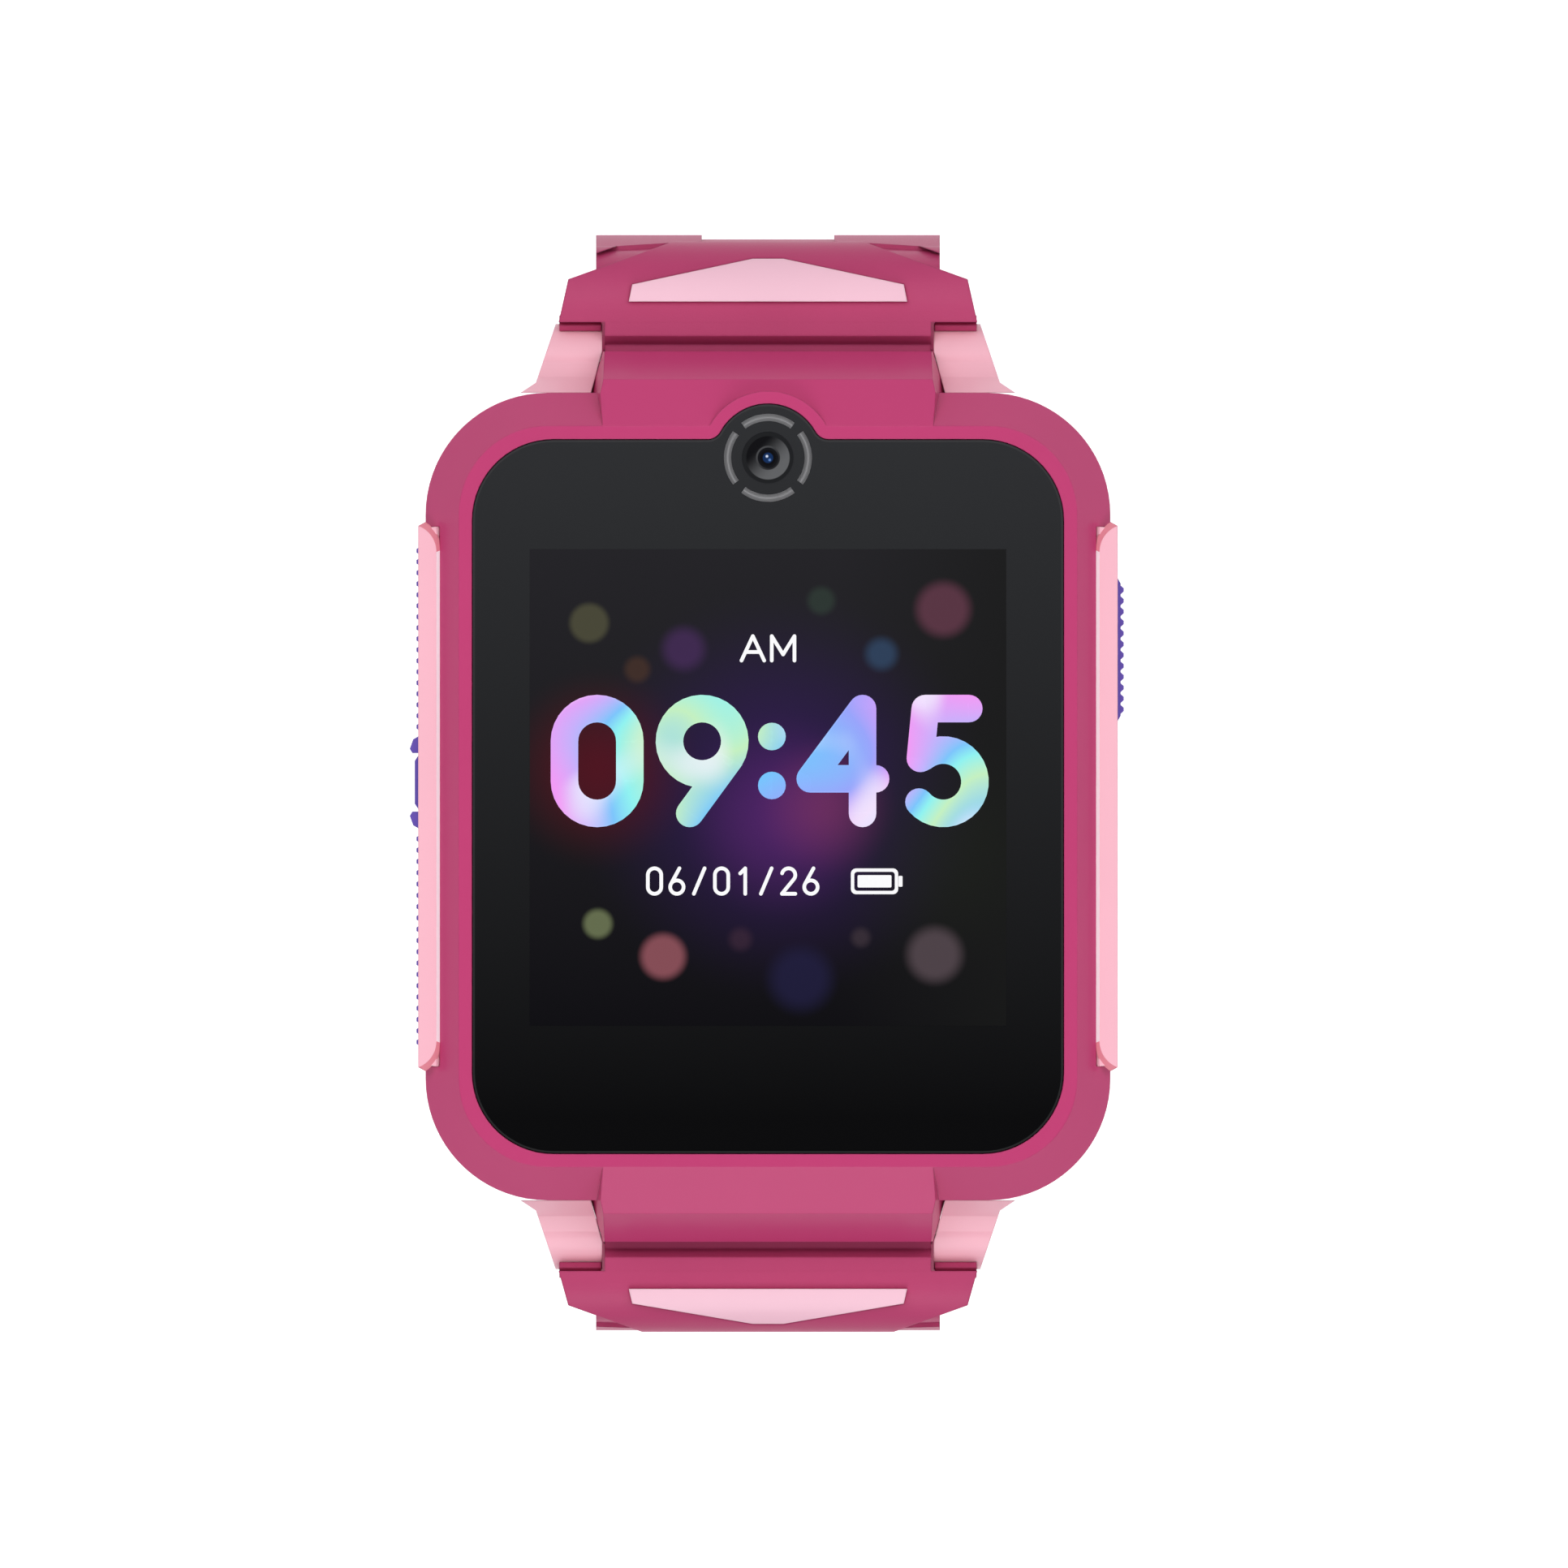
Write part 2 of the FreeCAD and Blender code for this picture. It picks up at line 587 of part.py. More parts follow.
draw_circle(bump, (0.0, S.cam_centre), S.cam_ring_radius)
pad(housing, "CameraBump", bump, S.ring_height - S.bevel_foot)
seat = sketch(housing, "GlassSeatPlan", "XY_Plane", S.ring_height)
draw_box(seat, glass_half_w + S.glass_gap, glass_half_l + S.glass_gap,
         S.glass_corner + S.glass_gap)
pocket(housing, "GlassSeat", seat, S.ring_height - seat_z)
seat = sketch(housing, "CameraSeatPlan", "XY_Plane", S.ring_height)
draw_circle(seat, (0.0, S.cam_centre), S.cam_glass_radius + S.glass_gap)
pocket(housing, "CameraSeat", seat, S.ring_height - seat_z)
fillet(housing, "SeatBlend", bulge_root(S.glass_gap), S.cam_blend - S.glass_gap)
cave = sketch(housing, "CavityPlan", "XY_Plane", S.case_floor)
draw_box(cave, half_w - S.housing_wall, half_l - S.housing_wall, S.case_corner - S.housing_wall)
pocket(housing, "Cavity", cave, skin_z - S.case_floor, back=True)
posts = sketch(housing, "PostsPlan", "XY_Plane", skin_z)
for x in (S.screw_x, -S.screw_x):
    for y in (S.screw_y, -S.screw_y):
        draw_circle(posts, (x, y), S.post_radius)
pad(housing, "Posts", posts, skin_z - S.cover_thick, back=True)
pilot = sketch(housing, "PilotPlan", "XY_Plane", S.cover_thick)
for x in (S.screw_x, -S.screw_x):
    for y in (S.screw_y, -S.screw_y):
        draw_circle(pilot, (x, y), S.screw_radius + 0.02)
pocket(housing, "PilotHoles", pilot, S.screw_long - S.cover_thick + 0.5, back=True)
window = sketch(housing, "WindowPlan", "XY_Plane", S.ring_height)
draw_box(window, window_half, window_half, centre=(0.0, S.view_shift))
pocket(housing, "Window", window, S.ring_height - skin_z + 0.5)
eye = sketch(housing, "CameraHolePlan", "XY_Plane", S.ring_height)
draw_circle(eye, (0.0, S.cam_centre), S.cam_hole_radius + 0.6)
pocket(housing, "CameraHole", eye, S.ring_height - skin_z + 0.5)
notch = sketch(housing, "RailNotchPlan", "XY_Plane", S.case_floor)
for side in (1, -1):
    rows = [(S.rail_inner, -S.rail_half), (half_w + 2.0, -S.rail_half),
            (half_w + 2.0, S.rail_half), (S.rail_inner, S.rail_half)]
    if side < 0:
        rows = [(-x, y) for x, y in reversed(rows)]
    draw(notch, rows)
pocket(housing, "RailNotches", notch, S.rail_top - S.case_floor, back=True)
stems = sketch(housing, "StemHolesPlan", "YZ_Plane")
draw_circle(stems, (S.home_middle, S.key_height), stem_hole)
pocket(housing, "HomeStemHole", stems, half_w + 2.0, back=True)
stems = sketch(housing, "SideStemHolePlan", "YZ_Plane")
draw_circle(stems, (S.guard_middle, S.key_height), stem_hole)
pocket(housing, "SideStemHole", stems, half_w + 2.0)

# ---- lug frame: lower case ring with the four lugs ----------------------------------
frame = new_body("lug_frame")
plan = sketch(frame, "FramePlan", "XY_Plane", S.frame_foot)
draw_box(plan, half_w, half_l, S.case_corner)
draw_box(plan, half_w - S.frame_wall, half_l - S.frame_wall, S.case_corner - S.frame_wall)
pad(frame, "FrameRing", plan, S.case_floor - S.frame_foot)
groove = sketch(frame, "GroovePlan", "XY_Plane", S.frame_foot)
groove_in = half_w - S.frame_wall + 0.35
for wide in (groove_in + S.gasket_width, groove_in):
    draw_box(groove, wide, wide + half_l - half_w, S.case_corner - half_w + wide)
pocket(frame, "GasketGroove", groove, S.gasket_thick, back=True)
for end, word in ((1, "Top"), (-1, "Bottom")):
    far = S.bar_y + S.lug_end_radius
    for side, hand in ((1, "Right"), (-1, "Left")):
        lug = sketch(frame, "Lug" + word + hand, "XY_Plane", S.frame_foot)
        rows = [(S.hood_foot_half, half_l), (S.lug_root_outer + 0.9, half_l),
                (S.lug_root_outer, half_l + 0.6), (S.lug_outer, far),
                (S.lug_inner, far), (S.lug_inner, S.hood_lip_y)]
        rows = [(x * side, y * end) for x, y in rows]
        if side * end < 0:
            rows.reverse()
        draw(lug, rows)
        pad(frame, "LugBlock" + word + hand, lug, S.lug_root_z - S.frame_foot)
    lean = root(as_size(0.5)) * S.lug_end_radius
    shape = sketch(frame, "LugTopCut" + word, "YZ_Plane")
    rows = [(half_l, S.lug_root_z), (S.bar_y - 0.9, S.bar_z + S.lug_end_radius + 0.35),
            (S.bar_y, S.bar_z + S.lug_end_radius),
            (S.bar_y + lean, S.bar_z + lean, -S.lug_end_radius),
            (far, S.bar_z, -S.lug_end_radius), (far + 2.0, S.bar_z),
            (far + 2.0, S.lug_root_z + 2.0), (half_l, S.lug_root_z + 2.0)]
    if end < 0:
        rows = [(-row[0],) + row[1:2] + tuple(-r for r in row[2:]) for row in rows]
    draw(shape, rows)
    pocket(frame, "LugTops" + word, shape, half_w * 2, both=True)
    shape = sketch(frame, "LugUnderCut" + word, "YZ_Plane")
    rows = [(far + 2.0, S.bar_z), (far, S.bar_z),
            (S.bar_y + lean, S.bar_z - lean, -S.lug_end_radius),
            (half_l + 0.3, S.frame_foot), (half_l + 0.3, S.frame_foot - 2.0),
            (far + 2.0, S.frame_foot - 2.0)]
    if end < 0:
        rows = [(-row[0],) + row[1:2] + tuple(-r for r in row[2:]) for row in rows]
    draw(shape, rows)
    pocket(frame, "LugUnders" + word, shape, half_w * 2, both=True)
pins = sketch(frame, "PinHolesPlan", "YZ_Plane")
draw_circle(pins, (S.bar_y, S.bar_z), S.bar_pin_radius + S.bar_fit)
draw_circle(pins, (-S.bar_y, S.bar_z), S.bar_pin_radius + S.bar_fit)
pocket(frame, "PinHoles", pins, (S.lug_inner + S.bar_pin_long + 0.1) * 2, both=True)

# ---- side rails, ridged trims and buttons ---------------------------------------------
key_foot = key_seat + S.key_travel + 0.1


def side_points(points, side):
    """Mirror plan points to the left side when side is negative."""
    if side > 0:
        return points
    return [(-row[0],) + tuple(row[1:]) for row in reversed(points)]


def side_box(made, side, x0, x1, y0, y1):
    """A plan rectangle on one side of the case."""
    draw(made, side_points([(x0, y0), (x1, y0), (x1, y1), (x0, y1)], side))


ridge_upper_last = S.ridge_upper_first + S.ridge_pitch * (S.ridge_upper_count - 1)
ridge_lower_last = S.ridge_lower_first - S.ridge_lower_pitch * (S.ridge_lower_count - 1)
trims = {
    "upper": (guard_high, ridge_upper_last + S.ridge_pitch / 2),
    "lower": (ridge_lower_last - S.ridge_lower_pitch / 2, guard_low),
}
for side, word in ((-1, "left"), (1, "right")):
    rail = new_body("side_rail_" + word)
    plan = sketch(rail, "RailPlan_" + word, "XY_Plane", S.case_floor)
    r = S.rail_fillet
    rows = [(S.rail_inner, -S.rail_half), (S.rail_face - r, -S.rail_half),
            (S.rail_face, r - S.rail_half, r), (S.rail_face, S.rail_half - r),
            (S.rail_face - r, S.rail_half, r), (S.rail_inner, S.rail_half)]
    if side < 0:
        rows = [(-S.rail_inner, S.rail_half), (r - S.rail_face, S.rail_half),
                (-S.rail_face, S.rail_half - r, r), (-S.rail_face, r - S.rail_half),
                (r - S.rail_face, -S.rail_half, r), (-S.rail_inner, -S.rail_half)]
    draw(plan, rows)
    pad(rail, "RailBar_" + word, plan, S.rail_top - S.case_floor)
    top = S.rail_top.value

    def inner_edge(edge):
        centre = edge.CenterOfMass
        return abs(centre.z - top) < 1e-4 and abs(abs(centre.x) - S.rail_inner.value) < 1e-4

    chamfer(rail, "RailEdge_" + word, inner_edge, S.rail_chamfer)
    wells = sketch(rail, "TrimWellPlan_" + word, "XY_Plane", S.trim_foot)
    if side < 0:
        side_box(wells, side, S.rail_face - S.trim_deep, S.rail_face + 1.0,
                 trims["lower"][0], trims["upper"][1])
        seat_low, seat_high, middle = guard_low, guard_high, S.guard_middle
    else:
        seat_low = S.home_middle - home_half - S.key_gap
        seat_high = S.home_middle + home_half + S.key_gap
        middle = S.home_middle
        side_box(wells, side, S.rail_face - S.trim_deep, S.rail_face + 1.0, seat_low, seat_high)
    pocket(rail, "TrimWells_" + word, wells, S.trim_top - S.trim_foot, back=True)
    deeper = sketch(rail, "KeySeatPlan_" + word, "XY_Plane", S.trim_foot)
    side_box(deeper, side, key_seat, S.rail_face + 1.0, seat_low, seat_high)
    pocket(rail, "KeySeat_" + word, deeper, S.trim_top - S.trim_foot, back=True)
    hole = sketch(rail, "StemHolePlan_" + word, "YZ_Plane")
    draw_circle(hole, (middle, S.key_height), stem_hole)
    pocket(rail, "StemHole_" + word, hole, S.rail_face + 2.0, back=side > 0)

valley = S.ridge_tip - S.ridge_height
for word, y0, y1 in (("upper", *trims["upper"]), ("lower", *trims["lower"])):
    trim = new_body("grip_trim_" + word)
    plan = sketch(trim, "TrimPlan_" + word, "XY_Plane", S.trim_foot)
    side_box(plan, -1, S.rail_face - S.trim_deep, valley, y0, y1)
    pad(trim, "TrimStrip_" + word, plan, S.trim_top - S.trim_foot)
    guard = sketch(trim, "GuardPlan_" + word, "XY_Plane", S.trim_foot)
    inner = S.rail_face - 0.3
    if word == "upper":
        rows = [(inner, y0), (S.guard_tip - 0.15, y0), (S.guard_tip, y0 + 0.25),
                (S.guard_tip - 0.2, y0 + S.guard_length * 0.7), (inner, y0 + S.guard_length)]
        start, pitch, count, step = S.ridge_upper_first, S.ridge_pitch, S.ridge_upper_count, False
    else:
        rows = [(inner, y1 - S.guard_length), (S.guard_tip - 0.2, y1 - S.guard_length * 0.7),
                (S.guard_tip, y1 - 0.25), (S.guard_tip - 0.15, y1), (inner, y1)]
        start, pitch, count, step = (S.ridge_lower_first, S.ridge_lower_pitch,
                                     S.ridge_lower_count, True)
    draw(guard, side_points(rows, -1))
    pad(trim, "Guard_" + word, guard, S.trim_top - S.trim_foot)
    tooth = sketch(trim, "RidgePlan_" + word, "XY_Plane", S.trim_foot)
    rows = [(valley - 0.05, start - pitch / 2), (valley, start - pitch / 2),
            (S.ridge_tip, start - 0.1), (S.ridge_tip, start + 0.1),
            (valley, start + pitch / 2), (valley - 0.05, start + pitch / 2)]
    draw(tooth, side_points(rows, -1))
    ridge = pad(trim, "Ridge_" + word, tooth, S.trim_top - S.trim_foot)
    row_of(trim, "Ridges_" + word, ridge, tooth, "V_Axis", pitch, count, back=step)


def push_key(label, side, middle, half, face, slope):
    """A push key with a sloped plate and a round stem that reaches its switch."""
    key = new_body(label)
    plan = sketch(key, label + "_plate", "XY_Plane", S.trim_foot + S.key_gap)
    rows = [(key_foot, middle - half), (face - 0.2, middle - half), (face, middle - half + slope),
            (face, middle + half - slope), (face - 0.2, middle + half), (key_foot, middle + half)]
    draw(plan, side_points(rows, side))
    pad(key, label + "_block", plan, S.trim_top - S.trim_foot - S.key_gap * 2)
    stem = sketch(key, label + "_stem", "YZ_Plane", S.key_stem_end * side)
    draw_circle(stem, (middle, S.key_height), S.key_stem_radius)
    pad(key, label + "_rod", stem, key_foot - S.key_stem_end, back=side < 0)
    return key


home = push_key("home_button", 1, S.home_middle, home_half,
                S.home_tip - S.home_rib_height, as_size(0.35))
rib_face = S.home_tip - S.home_rib_height
first = S.home_middle - S.home_rib_pitch * (S.home_rib_count - 1) / 2
rib = sketch(home, "RibPlan", "XY_Plane", S.trim_foot + S.key_gap)
draw(rib, [(rib_face - 0.05, first - 0.26), (rib_face, first - 0.26), (S.home_tip, first - 0.1),
           (S.home_tip, first + 0.1), (rib_face, first + 0.26), (rib_face - 0.05, first + 0.26)])
ribs = pad(home, "Rib", rib, S.trim_top - S.trim_foot - S.key_gap * 2)
row_of(home, "Ribs", ribs, rib, "V_Axis", S.home_rib_pitch, S.home_rib_count)
push_key("side_button", -1, S.guard_middle, side_half, S.side_tip, as_size(0.3))


# ---- simple inner pieces ---------------------------------------------------------------
def slab(label, z0, thick, half_x, half_y, centre=(0.0, 0.0), radius=None):
    """A flat block lying in XY."""
    body = new_body(label)
    plan = sketch(body, label + "_plan", "XY_Plane", z0)
    draw_box(plan, half_x, half_y, radius, centre)
    pad(body, label + "_slab", plan, thick)
    return body


def disc(label, z0, thick, radius, centre):
    """A round block standing on Z."""
    body = new_body(label)
    plan = sketch(body, label + "_plan", "XY_Plane", z0)
    draw_circle(plan, centre, radius)
    pad(body, label + "_disc", plan, thick)
    return body


def rod(label, x0, long, radius, y, z):
    """A round bar along X."""
    body = new_body(label)
    plan = sketch(body, label + "_plan", "YZ_Plane", x0)
    draw_circle(plan, (y, z), radius)
    pad(body, label + "_rod", plan, long)
    return body


# cover glass with the round bulge over the camera
glass = slab("cover_glass", seat_z, S.glass_thick, glass_half_w, glass_half_l,
             radius=S.glass_corner)
bulge = sketch(glass, "GlassBulge", "XY_Plane", seat_z)
draw_circle(bulge, (0.0, S.cam_centre), S.cam_glass_radius)
pad(glass, "GlassBulgePad", bulge, S.glass_thick)
fillet(glass, "BulgeBlend", bulge_root(as_size(0.0)), S.cam_blend)
glass_top = (seat_z + S.glass_thick).value
chamfer(glass, "GlassEdge", lambda edge: abs(edge.BoundBox.ZMin - glass_top) < 1e-4, 0.12)

# display: picture block in the window on a wider back plate, held by a metal tray
border = window_half + S.panel_margin
panel = slab("display_panel", skin_z - S.panel_thick, S.panel_thick, border, border,
             (0.0, S.view_shift))
block = sketch(panel, "PictureBlock", "XY_Plane", skin_z)
draw_box(block, S.view_size / 2, S.view_size / 2, centre=(0.0, S.view_shift))
pad(panel, "PictureBlockPad", block, seat_z - skin_z)
slab("display_tray", tray_z, S.tray_thick, border + 0.15, border + 0.15, (0.0, S.view_shift))

# camera: square module with a round barrel and a lens behind a cone
camera = slab("camera_module", skin_z - S.cam_body_deep, S.cam_body_deep,
              S.cam_body_side / 2, S.cam_body_side / 2, (0.0, S.cam_centre))
barrel = sketch(camera, "BarrelPlan", "XY_Plane", skin_z - 0.4)
draw_circle(barrel, (0.0, S.cam_centre), S.cam_hole_radius + 0.55)
pad(camera, "Barrel", barrel, seat_z - skin_z + 0.4 - 0.02)
cone = sketch(camera, "ConeProfile", "XZ_Plane", -S.cam_centre)
draw(cone, [(0.0, seat_z - 1.1), (S.cam_hole_radius * 0.55, seat_z - 1.1),
            (S.cam_hole_radius, seat_z), (S.cam_hole_radius, seat_z + 0.5), (0.0, seat_z + 0.5)])
groove = camera.newObject("PartDesign::Groove", "LensCone")
groove.Profile = cone
groove.ReferenceAxis = (cone, ["V_Axis"])
groove.Angle = 360.0
before = volume(camera)
assert before > 0
disc("camera_lens", seat_z - 1.1, 0.3, S.cam_hole_radius * 0.5, (0.0, S.cam_centre))

# main board with the parts soldered to it
slab("main_board", S.board_z, S.board_thick, S.board_half_x, S.board_half_y, radius=as_size(2.0))
for label, side, middle in (("switch_home", 1, S.home_middle), ("switch_side", -1, S.guard_middle)):
    case = new_body(label)
    plan = sketch(case, label + "_plan", "XY_Plane", S.key_height - 0.9)
    side_box(plan, side, S.board_half_x + 0.05, S.key_stem_end - S.key_travel - 0.6,
             middle - 1.7, middle + 1.7)
    pad(case, label + "_case", plan, 1.8)
    nub = sketch(case, label + "_nub", "YZ_Plane", (S.key_stem_end - S.key_travel - 0.65) * side)
    draw_circle(nub, (middle, S.key_height), 0.6)
    pad(case, label + "_plunger", nub, 0.6, back=side < 0)
slab("microphone", S.board_z - 1.1, 1.1, 1.5, 0.9, (-9.0, -12.5))
slab("battery_pack", S.cover_thick + S.part_gap, S.battery_z, S.battery_x / 2, S.battery_y / 2,
     (0.0, S.battery_middle), radius=as_size(1.2))
disc("speaker", S.cover_thick + S.part_gap, S.speaker_deep, S.speaker_radius,
     (-S.round_x, S.round_y))
disc("vibration_motor", S.cover_thick + S.part_gap, S.motor_deep, S.motor_radius,
     (S.round_x, S.round_y))

# rear cover: rim under the frame and a plug inside it, screws, seal, contacts
cover = slab("rear_cover", 0.0, S.frame_foot, half_w - S.cover_inset, half_l - S.cover_inset,
             radius=S.case_corner - S.cover_inset)
chamfer(cover, "CoverEdge", lambda edge: abs(edge.BoundBox.ZMax) < 1e-6, 0.35)
plug = sketch(cover, "PlugPlan", "XY_Plane", S.frame_foot)
plug_in = S.frame_wall + S.cover_fit
draw_box(plug, half_w - plug_in, half_l - plug_in, S.case_corner - plug_in)
pad(cover, "Plug", plug, S.cover_thick - S.frame_foot)
corners = [(x, y) for x in (S.screw_x, -S.screw_x) for y in (S.screw_y, -S.screw_y)]
holes = sketch(cover, "ScrewHolePlan", "XY_Plane")
for corner in corners:
    draw_circle(holes, corner, S.screw_radius + 0.1)
pocket(cover, "ScrewHoles", holes, S.cover_thick + 0.5, back=True)
heads = sketch(cover, "ScrewHeadPlan", "XY_Plane")
for corner in corners:
    draw_circle(heads, corner, S.screw_head + 0.1)
pocket(cover, "ScrewHeadSeats", heads, S.screw_head_deep + 0.1, back=True)
row_start = -S.contact_pitch * (S.contact_count - 1) / 2
hole = sketch(cover, "ContactHolePlan", "XY_Plane")
draw_circle(hole, (row_start, S.contact_y), S.contact_radius + 0.02)
hole = pocket(cover, "ContactHole", hole, S.cover_thick + 0.5, back=True)
row_of(cover, "ContactHoles", hole, hole.Profile[0], "H_Axis", S.contact_pitch, S.contact_count)
sound = sketch(cover, "SoundHolePlan", "XY_Plane")
draw_circle(sound, (-S.round_x - S.sound_pitch * (S.sound_count - 1) / 2, S.round_y), S.sound_hole)
sound = pocket(cover, "SoundHole", sound, S.cover_thick + 0.5, back=True)
row_of(cover, "SoundHoles", sound, sound.Profile[0], "H_Axis", S.sound_pitch, S.sound_count)

screws = new_body("cover_screws")
screws.AllowCompound = True
plan = sketch(screws, "ScrewHeads", "XY_Plane", 0.1)
for corner in corners:
    draw_circle(plan, corner, S.screw_head)
pad(screws, "Heads", plan, S.screw_head_deep)
plan = sketch(screws, "ScrewShanks", "XY_Plane", 0.1)
for corner in corners:
    draw_circle(plan, corner, S.screw_radius)
pad(screws, "Shanks", plan, S.screw_long)

contacts = new_body("charge_contacts")
contacts.AllowCompound = True
plan = sketch(contacts, "ContactPlan", "XY_Plane", 0.05)
draw_circle(plan, (row_start, S.contact_y), S.contact_radius)
pin = pad(contacts, "Contact", plan, S.cover_thick + 0.6)
row_of(contacts, "Contacts", pin, plan, "H_Axis", S.contact_pitch, S.contact_count)

seal = new_body("cover_gasket")
plan = sketch(seal, "SealPlan", "XY_Plane", S.frame_foot)
for wide in (groove_in + S.gasket_width - 0.05, groove_in + 0.05):
    draw_box(plan, wide, wide + half_l - half_w, S.case_corner - half_w + wide)
pad(seal, "Seal", plan, S.gasket_thick - 0.05)

for end, word in ((1, "upper"), (-1, "lower")):
    bar = rod("spring_bar_" + word, -(S.lug_inner - 0.1), (S.lug_inner - 0.1) * 2, S.bar_radius,
              S.bar_y * end, S.bar_z)
    pins = sketch(bar, "BarPins_" + word, "YZ_Plane")
    draw_circle(pins, (S.bar_y * end, S.bar_z), S.bar_pin_radius)
    pad(bar, "BarPinsPad_" + word, pins, (S.lug_inner + S.bar_pin_long) * 2, both=True)


# ---- strap halves ------------------------------------------------------------------------
class Half:
    """The sizes that belong to one strap half."""

    def __init__(self, word):
        self.word = word
        self.end = 1 if word == "upper" else -1
        for name in ("bend", "reach", "middle_z", "chevron_y", "sweep",
                     "inlay_start", "inlay_corner", "inlay_apex"):
            setattr(self, name, getattr(S, "%s_%s" % (word, name)))
        self.curve_y = self.reach - S.band_radius
        self.bend_z = S.shoulder_top - self.bend

    def on_curve(self, inset, height):
        """Point of the long curve, moved inwards by inset, at a height."""
        radius = S.band_radius - inset
        drop = height - self.middle_z
        return (self.curve_y + root(radius * radius - drop * drop), as_size(height))

    def at_angle(self, inset, angle):
        """Point of the long curve, moved inwards by inset, at an angle below its farthest."""
        radius = S.band_radius - inset
        return (self.curve_y + radius * cosine(angle), self.middle_z - radius * sine(angle))

    def face(self, rows):
        """Mirror YZ rows to the lower half."""
        if self.end > 0:
            return rows
        return [(-row[0], row[1]) + tuple(-r for r in row[2:]) for row in rows]

    def flat(self, rows):
        """Mirror plan rows to the lower half."""
        if self.end > 0:
            return rows
        return [(row[0], -row[1]) + tuple(-r for r in row[2:]) for row in rows]


def layer(body, name, half, rows, wide):
    """A YZ outline padded both ways to a full width."""
    made = sketch(body, name, "YZ_Plane")
    draw(made, half.face(rows))
    return pad(body, name + "Pad", made, wide, both=True)


def component(label):
    """A body that a sub-part is joined from; it isn't a sub-part by itself."""
    body = new_body(label)
    components.append(body)
    return body


components = []


